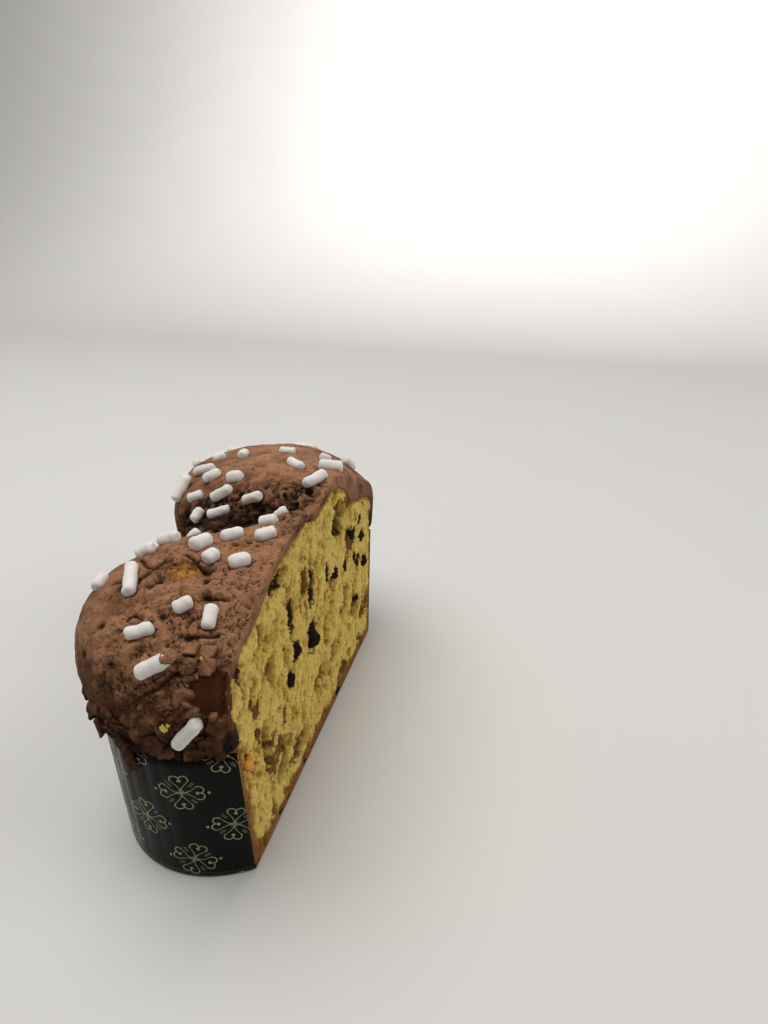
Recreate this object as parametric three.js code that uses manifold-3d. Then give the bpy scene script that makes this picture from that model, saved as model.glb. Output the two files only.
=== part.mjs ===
// Half of a chocolate colomba, the Easter dove cake, standing in its half of the black paper case.
// The whole cake is shaped first and then cut through the middle. Millimetres, +Z up.
// While it is shaped, the cut lies in the plane x = 0 and the kept half is at x < 0, the middle of the
// cut's base is the origin, and a turn is measured round it from -Y, clockwise as seen from above.
import * as THREE from "three";
import { mergeVertices } from "three/addons/utils/BufferGeometryUtils.js";
import Module from "manifold-3d";

const wasm = await Module();
wasm.setup();

// ---------------------------------------------------------------- driving dimensions
const GAP = 0.3; // air left between neighbouring pieces
const CASE_HEIGHT = 55;
const PAPER = 0.9; // wall and base of the paper case
const CASE_FLARE = 2.6; // how far the wall leans out at the rim
const CASE_FOOT = 0.8; // rounding where the wall meets the base
const CORE_RADIUS = 47;
const LOBES = [
  { turn: 26, out: 52.5, radius: 35.3 },
  { turn: 146, out: 65, radius: 41 },
  { turn: 267, out: 57, radius: 39 },
  { turn: 320, out: 60, radius: 37 },
];
const BLEND = 8; // power of the mean that joins lobes and core
const CREASE_SOFTENING = 7; // degrees over which the creases of the case are rounded
const TOP_HEIGHT = 106;
const SHOULDER_HEIGHT = 91;
const DOME = [
  // how far the glaze stands beyond the base outline, and at what height
  { out: 4.4, height: 58 },
  { out: 5, height: 63 },
  { out: 5.8, height: 69 },
  { out: 6.1, height: 75 },
  { out: 5.5, height: 81 },
  { out: 3.8, height: 86 },
  { out: 1.2, height: 89.3 },
  { out: -3.2, height: SHOULDER_HEIGHT },
];
const TOP_RINGS = 7; // rings between the shoulder and the crown
const VALLEY = {
  cutY: 8, // where the dip between the two lobes meets the cut
  edge: [-50, -15], // where it leaves over the side
  bend: 1.3, // power that bows it toward the near lobe
  shallow: 0.08, // share of the height above the foot that it takes at the cut
  deep: 0.3, // and away from it
  deepens: 14, // distance over which it deepens
  nearWidth: 10,
  farWidth: 8.5,
  foot: 60,
};
const RISES = [
  { x: -40, y: -40, height: 4.2, width: 24 }, // the near lobe's own crown
  { x: -25, y: -14, height: -5.5, width: 18 }, // the sag beside the dip
  { x: 0, y: 84, height: -9, width: 26 }, // the far end of the cut, which falls away
];
const SWELL = 0.6; // uneven rise and fall of the baked top
const SWELL_LENGTH = 31;
const GLAZE = 3.6;
const GLAZE_LIP = 1.3; // glaze outside the paper, over the rim
const GLAZE_HANG = { mean: 56.4, ragged: 1.6 }; // height of the ragged lower edge
const TURNS = 90; // points round the whole outline

// Sugar sticks on the glaze: turn, climb (0 at the rim, 1 at the crown), spin and length.
const SUGAR_RADIUS = 2.4;
const SUGAR_SINK = 0.35; // share of the thickness that is sunk in the glaze
const SUGAR_STICKS = [
  // the near lobe
  [37, 0.57, -28, 15],
  [21, 0.52, 46, 8.5],
  [13.4, 0.42, 43, 11],
  [7, 0.14, 51, 13],
  [17, 0.59, 56, 6],
  [9, 0.57, -72, 8],
  [35, 0.72, -80, 8],
  [24, 0.71, 89, 5.5],
  [13, 0.72, 53, 7],
  [17, 0.83, 59, 7.5],
  [35, 0.79, 85, 8],
  [37, 0.88, 33, 7],
  [50, 0.63, 49, 8.5],
  [49, 0.58, 69, 7],
  [47.5, 0.465, -40, 6.5],
  // the near side of the far lobe
  [122, 0.55, -81, 13],
  [113, 0.42, -13, 12],
  [118, 0.45, 68, 7],
  [118, 0.6, -57, 8],
  [110, 0.455, -55, 7],
  [103, 0.37, -12, 6.5],
  [118, 0.7, -74, 7],
  [111, 0.575, -74, 11],
  [103, 0.48, -68, 10],
  [109, 0.7, -67, 9],
  [112, 0.86, -26, 6],
  [131, 0.54, -19, 6],
  // the side away from the near end
  [68, 0.42, 30, 10],
  [85, 0.4, -60, 8],
];
// More lie on the rest of the far lobe, drawn at random and kept apart.
const SCATTER = { count: 10, turns: [128, 172], climbs: [0.3, 0.92], lengths: [7, 13], apart: 11, seed: 5 };

// Hollows in the cut face: distance from the near end, height, half width, half height and depth.
const HOLLOWS = [
  [103, 84, 9, 9, 8],
  [114, 83, 8, 7, 3],
  [17, 39, 3.5, 12, 6],
  [33, 92, 4.5, 4, 4],
  [25, 76, 5, 3, 3],
  [63, 51, 4, 9, 5],
  [83, 43, 4, 8, 5],
  [122, 29, 6, 5, 4],
  [107, 35, 6, 5, 3],
  [29, 17, 6, 6, 5],
  [32, 28, 3.5, 3, 3],
  [49, 15, 7, 4, 3],
  [32, 54, 5, 4.5, 3],
  [67, 68, 3, 6, 3],
  [45, 72, 3, 6, 3],
  [75, 80, 4, 4, 3],
  [90, 46, 3.5, 8, 3],
  [76, 27, 6, 8, 2.5],
  [101, 10, 6, 3.5, 3],
  [134, 18, 4, 5, 2.5],
  [130, 50, 4, 4, 2.5],
  [115, 70, 3.5, 3.5, 2.5],
  [60, 90, 5, 3.5, 2.5],
];

// Chocolate drops baked into the crumb and left showing at the cut: distance, height, radius.
const DROPS = [
  [50, 55.3, 3.2],
  [42.6, 47.7, 3],
  [68.5, 48, 4.4],
  [108, 60, 3.2],
  [96, 62, 2.6],
  [122, 68, 2.8],
  [136, 60, 3.2],
  [141, 44, 2.8],
  [123, 55, 2.6],
  [132, 70, 2.4],
];
const DROP_SHOWS = 0.2; // share of a drop that stands out of the cut face

// The shred of candied peel at the near edge of the cut face.
const PEEL = { distance: 3.6, height: 45, size: [4.4, 3.2, 5.2], sunk: 0.6, tilt: 20 };

// ---------------------------------------------------------------- helpers
const radians = THREE.MathUtils.degToRad;
const lerp = THREE.MathUtils.lerp;
const bell = (distance, width) => Math.exp(-((distance / width) ** 2));

// A repeatable draw in [0, 1) for the n-th random number of a stream.
function draw(stream, n) {
  const value = Math.sin(stream * 127.1 + n * 311.7) * 43758.5453;
  return value - Math.floor(value);
}

// Distance from the cake's middle to a grown lobe's far side along a turn, or 0 where the ray misses it.
function lobeReach(lobe, turn, grow) {
  const angle = radians(turn - lobe.turn);
  const half = (lobe.radius + grow) ** 2 - (lobe.out * Math.sin(angle)) ** 2;
  return half > 0 && Math.cos(angle) > 0 ? lobe.out * Math.cos(angle) + Math.sqrt(half) : 0;
}

function sharpOutline(turn, grow) {
  const core = (CORE_RADIUS + grow) ** BLEND;
  return LOBES.reduce((sum, lobe) => sum + lobeReach(lobe, turn, grow) ** BLEND, core) ** (1 / BLEND);
}

// Radius of the cake's base outline at a turn, grown outwards, with its inward creases rounded.
function outline(turn, grow) {
  const shares = [-1, -0.75, -0.5, -0.25, 0, 0.25, 0.5, 0.75, 1].map((step) => [step, bell(step, 0.6)]);
  const total = shares.reduce((sum, [, share]) => sum + share, 0);
  const radius = ([step, share]) => share * sharpOutline(turn + step * CREASE_SOFTENING, grow);
  return shares.reduce((sum, row) => sum + radius(row), 0) / total;
}

function caseRadius(turn, height) {
  return lerp(outline(turn, 0), outline(turn, CASE_FLARE), height / CASE_HEIGHT);
}

function at(turn, radius, height) {
  return new THREE.Vector3(-radius * Math.sin(radians(turn)), -radius * Math.cos(radians(turn)), height);
}

// Slow, smooth unevenness between -1 and 1.
function swell(x, y, length) {
  const [u, v] = [x / length, y / length];
  return (Math.sin(6.1 * u + 1.3) * Math.cos(4.9 * v) + Math.sin(3.7 * v - 2.2 * u + 0.7)) / 2;
}

// Share of its height that the surface loses in the dip between the two lobes.
function valleyShare(x, y) {
  const [edgeX, edgeY] = VALLEY.edge;
  const away = Math.abs(x);
  const off = y - lerp(VALLEY.cutY, edgeY, (away / -edgeX) ** VALLEY.bend);
  const width = off < 0 ? VALLEY.nearWidth : VALLEY.farWidth;
  const share = lerp(VALLEY.deep, VALLEY.shallow, Math.exp(-away / VALLEY.deepens));
  return share * bell(off, width);
}

// A point of the glazed surface or, with a depth, of the surface that far below it. The climb runs from
// 0 at the lowest level of the dome through its shoulder, at CLIMB_SHOULDER, to 1 at the crown.
const CLIMB_SHOULDER = (DOME.length - 1) / (DOME.length - 1 + TOP_RINGS);
function surface(turn, climb, depth = 0) {
  const shoulder = DOME[DOME.length - 1];
  let out = shoulder.out;
  let share = 1;
  let height;
  if (climb <= CLIMB_SHOULDER) {
    const level = Math.min((climb / CLIMB_SHOULDER) * (DOME.length - 1), DOME.length - 1 - 1e-6);
    const [low, high] = [DOME[Math.floor(level)], DOME[Math.floor(level) + 1]];
    out = lerp(low.out, high.out, level % 1);
    height = lerp(low.height, high.height, level % 1);
  } else {
    share = (1 - climb) / (1 - CLIMB_SHOULDER);
    height = TOP_HEIGHT - (TOP_HEIGHT - SHOULDER_HEIGHT) * share ** 2;
  }
  const { x, y } = at(turn, outline(turn, out) * share, 0);
  const lift = THREE.MathUtils.smoothstep(height, DOME[0].height, SHOULDER_HEIGHT);
  const hillAt = (hill) => hill.height * bell(Math.hypot(x - hill.x, y - hill.y), hill.width);
  const rise = RISES.reduce((sum, hill) => sum + hillAt(hill), 0);
  const uneven = height + lift * (rise + SWELL * swell(x, y, SWELL_LENGTH));
  const dipped = uneven - Math.max(0, uneven - VALLEY.foot) * valleyShare(x, y);
  const inner = outline(turn, out - depth) - outline(turn, out);
  return at(turn, outline(turn, out) * share + inner * share ** 2, dipped - depth * lift);
}

// The glazed surface's own axes at a point: straight out of it, and level along the turn.
function axesAt(turn, climb) {
  const [turnStep, climbStep] = [0.5, 0.005];
  const across = surface(turn + turnStep, climb).sub(surface(turn - turnStep, climb));
  const up = surface(turn, climb + climbStep).sub(surface(turn, climb - climbStep));
  const normal = up.cross(across).normalize();
  return { along: at(turn + 90, 1, 0).projectOnPlane(normal).normalize(), normal };
}

// ---------------------------------------------------------------- solids
// A closed solid from rings of equal length, bottom to top, with a fan at each end.
function loft(rings) {
  const count = rings[0].length;
  const positions = [];
  const add = (...points) => points.forEach((point) => positions.push(point.x, point.y, point.z));
  const middle = (ring) =>
    ring.reduce((sum, point) => sum.add(point), new THREE.Vector3()).divideScalar(count);
  const [bottom, top] = [middle(rings[0]), middle(rings[rings.length - 1])];
  for (let i = 0; i < count; i++) {
    const next = (i + 1) % count;
    add(rings[0][i], rings[0][next], bottom);
    add(rings[rings.length - 1][next], rings[rings.length - 1][i], top);
    for (let level = 1; level < rings.length; level++) {
      const [low, high] = [rings[level - 1], rings[level]];
      add(low[i], high[i], low[next], low[next], high[i], high[next]);
    }
  }
  return new THREE.BufferGeometry().setAttribute("position", new THREE.Float32BufferAttribute(positions, 3));
}

function ring(pointAt) {
  return Array.from({ length: TURNS }, (_, i) => pointAt((i * 360) / TURNS));
}

function solid(geometry) {
  const plain = geometry.clone();
  plain.deleteAttribute("normal");
  plain.deleteAttribute("uv");
  const merged = mergeVertices(plain, 1e-4);
  return new wasm.Manifold(
    new wasm.Mesh({
      numProp: 3,
      vertProperties: merged.attributes.position.array,
      triVerts: new Uint32Array(merged.index.array),
    }),
  );
}

function geometryOf(manifold) {
  const { vertProperties, triVerts } = manifold.getMesh();
  const geometry = new THREE.BufferGeometry();
  geometry.setAttribute("position", new THREE.BufferAttribute(Float32Array.from(vertProperties), 3));
  geometry.setIndex(new THREE.BufferAttribute(Uint32Array.from(triVerts), 1));
  geometry.computeVertexNormals();
  return geometry;
}

function box(width, depth, height, x, y, z) {
  return solid(new THREE.BoxGeometry(width, depth, height).translate(x, y, z));
}

// What the knife leaves: everything on the kept side of the cut.
const KEPT = box(200, 300, 300, -100, 0, 100);

// The dome at a depth under the glaze's surface, grown by a margin: sideways low down, upwards on top.
function domeRings(depth, margin = 0) {
  const steps = DOME.length - 1 + TOP_RINGS;
  const pointAt = (turn, climb) => {
    const upwards = margin * Math.min(climb / CLIMB_SHOULDER, 1);
    return surface(turn, climb, depth).add(at(turn, margin - upwards, upwards));
  };
  return Array.from({ length: steps }, (_, i) => ring((turn) => pointAt(turn, i / steps)));
}

// The case's outside, grown by a margin, from one height to another.
function caseBlock(margin, low, high) {
  const between = [0.25, 0.5, 0.75].map((share) => share * CASE_HEIGHT).filter((height) => height > low);
  return [low, ...between, high].map((height) =>
    ring((turn) => at(turn, caseRadius(turn, height) + margin, height)),
  );
}

function paperCase() {
  const foot = ring((turn) => at(turn, outline(turn, -CASE_FOOT), 0));
  const outside = solid(loft([foot, ...caseBlock(0, CASE_FOOT, CASE_HEIGHT)]));
  const inside = solid(loft(caseBlock(-PAPER, PAPER, CASE_HEIGHT + 5)));
  return outside.subtract(inside).intersect(KEPT);
}

function crumbBody() {
  const margin = -PAPER - GAP;
  const body = solid(loft([...caseBlock(margin, PAPER + GAP, CASE_HEIGHT), ...domeRings(GLAZE)]));
  return body.intersect(KEPT);
}

// The glaze hangs over the rim in a ragged edge and clears the paper and the crumb.
function glazeShell() {
  const edge = ring((turn) => {
    const ragged = swell(turn, 0, 9) + 0.7 * swell(turn, 40, 3.7);
    const height = GLAZE_HANG.mean + GLAZE_HANG.ragged * ragged;
    return at(turn, caseRadius(turn, height) + GAP + GLAZE_LIP, height);
  });
  const keptClear = solid(loft([...caseBlock(GAP, 40, CASE_HEIGHT + GAP), ...domeRings(GLAZE, GAP)]));
  return solid(loft([edge, ...domeRings(0)])).subtract(keptClear).intersect(KEPT);
}

// ---------------------------------------------------------------- sugar sticks
// A six-sided rod along Y whose ends are rounded off by an amount.
function stick(length, radius, rounding) {
  const half = length / 2;
  const profile = [
    [0, -half],
    [radius - rounding, -half],
    [radius, rounding - half],
    [radius, half - rounding],
    [radius - rounding, half],
    [0, half],
  ].map(([x, y]) => new THREE.Vector2(x, y));
  return new THREE.LatheGeometry(profile, 6);
}

// Where a stick lies: on the glaze, its axis turned by the spin in the surface's own plane.
function stickPlace([turn, climb, spin]) {
  const { along, normal } = axesAt(turn, climb);
  const axis = along.applyAxisAngle(normal, radians(spin));
  const side = new THREE.Vector3().crossVectors(axis, normal);
  const centre = surface(turn, climb).addScaledVector(normal, SUGAR_RADIUS * (1 - 2 * SUGAR_SINK));
  return new THREE.Matrix4().makeBasis(side, axis, normal).setPosition(centre);
}

// The listed sticks, and the scattered ones wherever the draw finds room.
function stickRows() {
  const rows = [...SUGAR_STICKS];
  const points = rows.map(([turn, climb]) => surface(turn, climb));
  const pick = ([low, high], n) => lerp(low, high, draw(SCATTER.seed, n));
  for (let n = 0; rows.length < SUGAR_STICKS.length + SCATTER.count; n += 4) {
    const [turn, climb] = [pick(SCATTER.turns, n), pick(SCATTER.climbs, n + 1)];
    const point = surface(turn, climb);
    if (points.some((other) => other.distanceTo(point) < SCATTER.apart)) continue;
    rows.push([turn, climb, pick([0, 180], n + 2), pick(SCATTER.lengths, n + 3)]);
    points.push(point);
  }
  return rows;
}

function sugarSticks() {
  return stickRows().map((row, i) => {
    const radius = SUGAR_RADIUS * lerp(0.88, 1.1, draw(1, i));
    const place = stickPlace(row);
    return {
      shape: stick(row[3], radius, 0.35 * radius).applyMatrix4(place),
      pocket: solid(stick(row[3] + 2 * GAP, radius + GAP, 0).applyMatrix4(place)),
    };
  });
}

// ---------------------------------------------------------------- cut face
function cutPoint(distance, height, depth) {
  return new THREE.Vector3(-depth, distance - outline(0, 0), height);
}

function hollow([distance, height, halfWidth, halfHeight, depth]) {
  const blob = new THREE.IcosahedronGeometry(1, 1).scale(depth, halfWidth, halfHeight);
  return solid(blob.translate(...cutPoint(distance, height, 0)));
}

function drop([distance, height, radius], margin, n) {
  const stretch = lerp(0.85, 1.2, draw(2, n));
  const blob = new THREE.IcosahedronGeometry(1, 1);
  blob.scale(radius + margin, radius * stretch + margin, radius / stretch + margin);
  blob.rotateX(draw(3, n) * Math.PI);
  return blob.translate(...cutPoint(distance, height, radius * (1 - 2 * DROP_SHOWS)));
}

// A rounded dice of peel, grown by a margin.
function peel(margin) {
  const [width, depth, height] = PEEL.size.map((side) => side + 2 * margin);
  const outline = new THREE.Shape().absarc(0, 0, width / 2, 0, 2 * Math.PI);
  const dice = new THREE.ExtrudeGeometry(outline, { depth: height, bevelEnabled: false, curveSegments: 5 });
  dice.translate(0, 0, -height / 2).scale(depth / width, 1, 1).rotateX(radians(PEEL.tilt));
  return dice.translate(...cutPoint(PEEL.distance, PEEL.height, PEEL.size[1] * (PEEL.sunk - 0.5)));
}

// ---------------------------------------------------------------- the cake
const PAPER_BLACK = { color: 0x14120f, roughness: 0.55, metalness: 0 };
const CRUMB_YELLOW = { color: 0xc2a84e, roughness: 0.95, metalness: 0 };
const GLAZE_BROWN = { color: 0x6b4434, roughness: 0.8, metalness: 0 };
const SUGAR_WHITE = { color: 0xe9e6e1, roughness: 0.7, metalness: 0 };
const DROP_BROWN = { color: 0x1d120c, roughness: 0.45, metalness: 0 };
const PEEL_ORANGE = { color: 0xc8641e, roughness: 0.5, metalness: 0 };

const cake = new THREE.Group();
function addPart(name, geometry, finish) {
  const mesh = new THREE.Mesh(geometry, new THREE.MeshStandardMaterial(finish));
  mesh.name = name;
  cake.add(mesh);
}
const numbered = (name, i) => `${name}_${String(i + 1).padStart(2, "0")}`;

const sticks = sugarSticks();
const hollows = wasm.Manifold.union(HOLLOWS.map(hollow));
const dropBeds = wasm.Manifold.union(DROPS.map((row, i) => solid(drop(row, GAP, i))));
const pockets = wasm.Manifold.union(sticks.map(({ pocket }) => pocket));

addPart("paper_case", geometryOf(paperCase()), PAPER_BLACK);
const carved = wasm.Manifold.union([hollows, dropBeds, pockets, solid(peel(GAP))]);
addPart("crumb", geometryOf(crumbBody().subtract(carved)), CRUMB_YELLOW);
addPart("glaze", geometryOf(glazeShell().subtract(pockets)), GLAZE_BROWN);
sticks.forEach(({ shape }, i) => addPart(numbered("sugar_stick", i), shape, SUGAR_WHITE));
DROPS.forEach((row, i) => addPart(numbered("chocolate_drop", i), drop(row, 0, i), DROP_BROWN));
addPart("candied_peel", peel(0), PEEL_ORANGE);

// The origin is the middle of the base of the cake's box.
const bounds = new THREE.Box3().setFromObject(cake, true);
const centre = bounds.getCenter(new THREE.Vector3());
cake.position.set(-centre.x, -centre.y, -bounds.min.z);

export default cake;
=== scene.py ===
"""The looks of half a glazed dove cake: crumb, baked cocoa glaze, pearl sugar and printed paper case.

Lengths named in mm are turned to metres by MM where they meet Blender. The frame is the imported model's:
+Z is up, the cut face looks along +X, and the near lobe lies towards -Y.
"""

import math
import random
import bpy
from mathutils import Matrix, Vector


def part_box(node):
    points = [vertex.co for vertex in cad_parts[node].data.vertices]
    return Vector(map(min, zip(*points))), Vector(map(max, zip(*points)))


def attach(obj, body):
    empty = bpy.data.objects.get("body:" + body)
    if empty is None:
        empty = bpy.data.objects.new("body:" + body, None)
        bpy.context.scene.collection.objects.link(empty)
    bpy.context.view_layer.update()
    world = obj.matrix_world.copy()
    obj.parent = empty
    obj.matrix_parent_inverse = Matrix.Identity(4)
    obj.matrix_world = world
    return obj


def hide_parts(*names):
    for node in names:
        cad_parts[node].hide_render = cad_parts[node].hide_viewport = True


bl_info = {
    "name": "Glazed Dove Cake Half",
    "version": (1, 0, 0),
    "blender": (4, 5, 0),
    "location": "3D View > Sidebar > Dove Cake",
    "description": "Models and finishes the cut half of a glazed dove cake in its paper case",
    "category": "Add Mesh",
}

import bmesh
import bpy
import numpy as np
from bpy.props import FloatProperty, FloatVectorProperty, IntProperty, PointerProperty
from mathutils import Matrix, Vector, kdtree, noise
from mathutils.bvhtree import BVHTree

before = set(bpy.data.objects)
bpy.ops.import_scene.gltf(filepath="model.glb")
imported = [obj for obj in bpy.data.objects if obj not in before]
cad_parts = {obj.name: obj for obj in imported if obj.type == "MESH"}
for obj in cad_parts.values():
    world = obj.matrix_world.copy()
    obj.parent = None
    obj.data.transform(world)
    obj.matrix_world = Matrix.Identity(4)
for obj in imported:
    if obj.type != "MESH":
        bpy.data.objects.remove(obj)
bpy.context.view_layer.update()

MM = 0.001
BODY = "root"
CUT_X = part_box("paper_case")[1].x / MM  # plane of the cut face, mm
RIM_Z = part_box("paper_case")[1].z / MM  # height of the paper case, mm
TRIANGLES_MOST = 190000  # in one piece
SOFTENING = 3  # rounds of smoothing


# ---------------------------------------------------------------- small helpers
def smooth(low, high, value):
    """0 below low, 1 above high, and an even S between them."""
    share = np.clip((np.asarray(value, float) - low) / (high - low), 0, 1)
    return share * share * (3 - 2 * share)


def coordinates(mesh):
    """The mesh's points as an array, in mm."""
    points = np.zeros(len(mesh.vertices) * 3)
    mesh.vertices.foreach_get("co", points)
    return points.reshape(-1, 3) / MM


def directions(mesh):
    """The way that the surface faces at each point."""
    values = np.zeros(len(mesh.vertices) * 3)
    mesh.vertices.foreach_get("normal", values)
    return values.reshape(-1, 3)


def move_to(mesh, points):
    """Puts the mesh's points where the array says, mm."""
    mesh.vertices.foreach_set("co", (points * MM).ravel())
    mesh.update()


def paint(mesh, name, values):
    """A named value from 0 to 1 on each point, for the material to read."""
    layer = mesh.attributes.new(name, "FLOAT", "POINT")
    layer.data.foreach_set("value", np.clip(values, 0, 1).astype(np.float32))


def soft_noise(place, octaves=4):
    """Noise of about -1 to 1 at one place, whose largest lumps are 1 across."""
    return noise.fractal(place, 1.0, 2.0, octaves)


def cloud(points, size, octaves=3, seed=0):
    """Soft noise, about -1 to 1, whose lumps are size mm across."""
    offset = Vector((seed * 17.3, seed * 5.7, seed * 11.9))
    return np.array([soft_noise(Vector(p) / size + offset, octaves) for p in points.tolist()])


def clouds(points, size, octaves, *seeds):
    """A column of soft noise for each seed."""
    return np.stack([cloud(points, size, octaves, seed) for seed in seeds], 1)


def chance(place):
    """A number from 0 to 1 that belongs to a place."""
    return 0.5 + 0.5 * noise.cell(place * 31.7)


def pores(points, size, share, fill, seed=0):
    """Round hollows of uneven width: 0 between them and 1 at the middle of each.

    size is the distance between neighbours in mm, share how many of them there are, and fill how much of
    that distance the widest ones take.
    """
    offset = Vector((seed * 7.1, seed * 13.7, seed * 3.3))
    found = np.zeros(len(points))
    for i, point in enumerate(points.tolist()):
        distances, centres = noise.voronoi(Vector(point) / size + offset)
        luck = chance(centres[0])
        if luck < share:
            radius = fill * (0.35 + 0.65 * luck / share)
            found[i] = max(0.0, 1 - (distances[0] / radius) ** 2) ** 0.5
    return found


def creases(points, size, width, octaves=3, seed=0):
    """Thin meandering lines where a soft noise changes sign: 1 in a line and 0 away from it."""
    field = cloud(points, size, octaves, seed)
    return np.exp(-((field / width) ** 2))


def foam(points, size, wall, seed=0):
    """Open cells about size mm across: 0 on the walls between them and 1 on their floors."""
    offset = Vector((seed * 2.9, seed * 19.1, seed * 6.1))
    gaps = np.zeros(len(points))
    for i, point in enumerate(points.tolist()):
        distances, _ = noise.voronoi(Vector(point) / size + offset)
        gaps[i] = distances[1] - distances[0]
    return smooth(0, wall, gaps)


def shingles(points, size, seed=0):
    """Plates about size mm across: a height of their own, 0 to 1, and the distance to their edge."""
    offset = Vector((seed * 3.7, seed * 8.3, seed * 15.1))
    heights, gaps = np.zeros(len(points)), np.zeros(len(points))
    for i, point in enumerate(points.tolist()):
        distances, centres = noise.voronoi(Vector(point) / size + offset)
        heights[i] = chance(centres[0])
        gaps[i] = distances[1] - distances[0]
    return heights, gaps


def near(points, centre, radius):
    """1 at a centre and falling to 0 in about two radii."""
    return np.exp(-(((points - np.array(centre)) ** 2).sum(1)) / radius**2)


def near_any(points, spots):
    """1 at the centres of several spots, each given with its radius, and falling to 0 like near."""
    return np.max([near(points, centre, radius) for centre, radius in spots], axis=0)


def near_path(points, path, radius):
    """1 along a path of straight stretches and falling to 0 in about two radii."""
    nearest = np.full(len(points), np.inf)
    for start, end in zip(path, path[1:]):
        start, stretch = np.array(start), np.array(end) - np.array(start)
        share = np.clip((points - start) @ stretch / (stretch @ stretch), 0, 1)
        gap = points - start - share[:, None] * stretch
        nearest = np.minimum(nearest, (gap**2).sum(1))
    return np.exp(-nearest / radius**2)


def outward(points):
    """Directions along the plane of the cut, away from its middle."""
    ways = points[:, 1:] - np.array([0, 55])
    return ways / np.linalg.norm(ways, axis=1)[:, None]


def of_kind(items, kind):
    return [item for item in items if isinstance(item, kind)]


def merged_copy(*nodes):
    """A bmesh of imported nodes, with the doubles of their loose triangles merged."""
    bm = bmesh.new()
    for node in nodes:
        bm.from_mesh(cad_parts[node].data)
    bmesh.ops.remove_doubles(bm, verts=bm.verts, dist=0.002 * MM)
    return bm


def surface_tree(*nodes):
    """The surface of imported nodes, for rays and for the distance to it."""
    bm = merged_copy(*nodes)
    tree = BVHTree.FromBMesh(bm)
    bm.free()
    return tree


def add_to(bm, part):
    """Puts one bmesh into another and frees it."""
    mesh = bpy.data.meshes.new("part")
    part.to_mesh(mesh)
    part.free()
    bm.from_mesh(mesh)
    bpy.data.meshes.remove(mesh)


def make_object(name, bm, *materials):
    mesh = bpy.data.meshes.new(name)
    bm.to_mesh(mesh)
    bm.free()
    piece = bpy.data.objects.new(name, mesh)
    bpy.context.scene.collection.objects.link(piece)
    for material in materials:
        mesh.materials.append(material)
    return piece


def apply_modifier(piece, kind, **values):
    """Adds a modifier, keeps the mesh that it gives and removes it again."""
    modifier = piece.modifiers.new(kind.lower(), kind)
    for name, value in values.items():
        setattr(modifier, name, value)
    graph = bpy.context.evaluated_depsgraph_get()
    mesh = bpy.data.meshes.new_from_object(piece.evaluated_get(graph))
    piece.modifiers.clear()
    old, piece.data = piece.data, mesh
    bpy.data.meshes.remove(old)


def remesh(piece, grid):
    """Rebuilds a piece on an even grid, mm."""
    apply_modifier(piece, "REMESH", mode="VOXEL", voxel_size=grid * MM)


def halve_grid(bm, edges):
    """Cuts edges in two, and splits the faces beside them that now have more than four corners."""
    bmesh.ops.subdivide_edges(bm, edges=edges, cuts=1, use_grid_fill=True)
    bmesh.ops.triangulate(bm, faces=[face for face in bm.faces if len(face.verts) > 4])


def thin(piece):
    """Joins the flattest triangles of a piece that has too many."""
    triangles = sum(len(face.vertices) - 2 for face in piece.data.polygons)
    if triangles > TRIANGLES_MOST:
        apply_modifier(piece, "DECIMATE", ratio=TRIANGLES_MOST / triangles)


def soften(mesh):
    """Takes the edges off a fine mesh."""
    bm = bmesh.new()
    bm.from_mesh(mesh)
    for _ in range(SOFTENING):
        bmesh.ops.smooth_vert(
            bm, verts=bm.verts, factor=0.5, use_axis_x=True, use_axis_y=True, use_axis_z=True
        )
    bm.to_mesh(mesh)
    bm.free()


def finish_piece(piece, slot, *nodes):
    """Smooth shading, and the piece's place in the model."""
    piece.data.shade_smooth()
    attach(piece, BODY)
    if nodes:
        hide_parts(*nodes)


def nodes_named(start):
    return sorted(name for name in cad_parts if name.startswith(start))


# ---------------------------------------------------------------- material helpers
class Field:
    """A value in a material's node tree; sums and products of it add Math nodes."""

    def __init__(self, tree, socket):
        self.tree = tree
        self.socket = socket

    def math(self, operation, *others):
        node = self.tree.nodes.new("ShaderNodeMath")
        node.operation = operation
        for slot, value in zip(node.inputs, (self, *others)):
            if isinstance(value, Field):
                self.tree.links.new(value.socket, slot)
            else:
                slot.default_value = value
        return Field(self.tree, node.outputs[0])

    def __add__(self, other):
        return self.math("ADD", other)

    def __sub__(self, other):
        return self.math("SUBTRACT", other)

    def __mul__(self, other):
        return self.math("MULTIPLY", other)

    def __truediv__(self, other):
        return self.math("DIVIDE", other)

    def __abs__(self):
        return self.math("ABSOLUTE")

    def most(self, other):
        return self.math("MAXIMUM", other)

    def least(self, other):
        return self.math("MINIMUM", other)

    def below(self, limit, soft):
        """1 where the value is well under the limit and 0 above it, over a soft edge."""
        node = self.tree.nodes.new("ShaderNodeMapRange")
        node.interpolation_type = "SMOOTHSTEP"
        self.tree.links.new(self.socket, node.inputs["Value"])
        node.inputs["From Min"].default_value = limit - soft
        node.inputs["From Max"].default_value = limit + soft
        node.inputs["To Min"].default_value = 1
        node.inputs["To Max"].default_value = 0
        return Field(self.tree, node.outputs["Result"])

    def above(self, limit, soft):
        """1 where the value is well over the limit and 0 below it, over a soft edge."""
        return self.below(limit, soft) * -1 + 1


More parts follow.
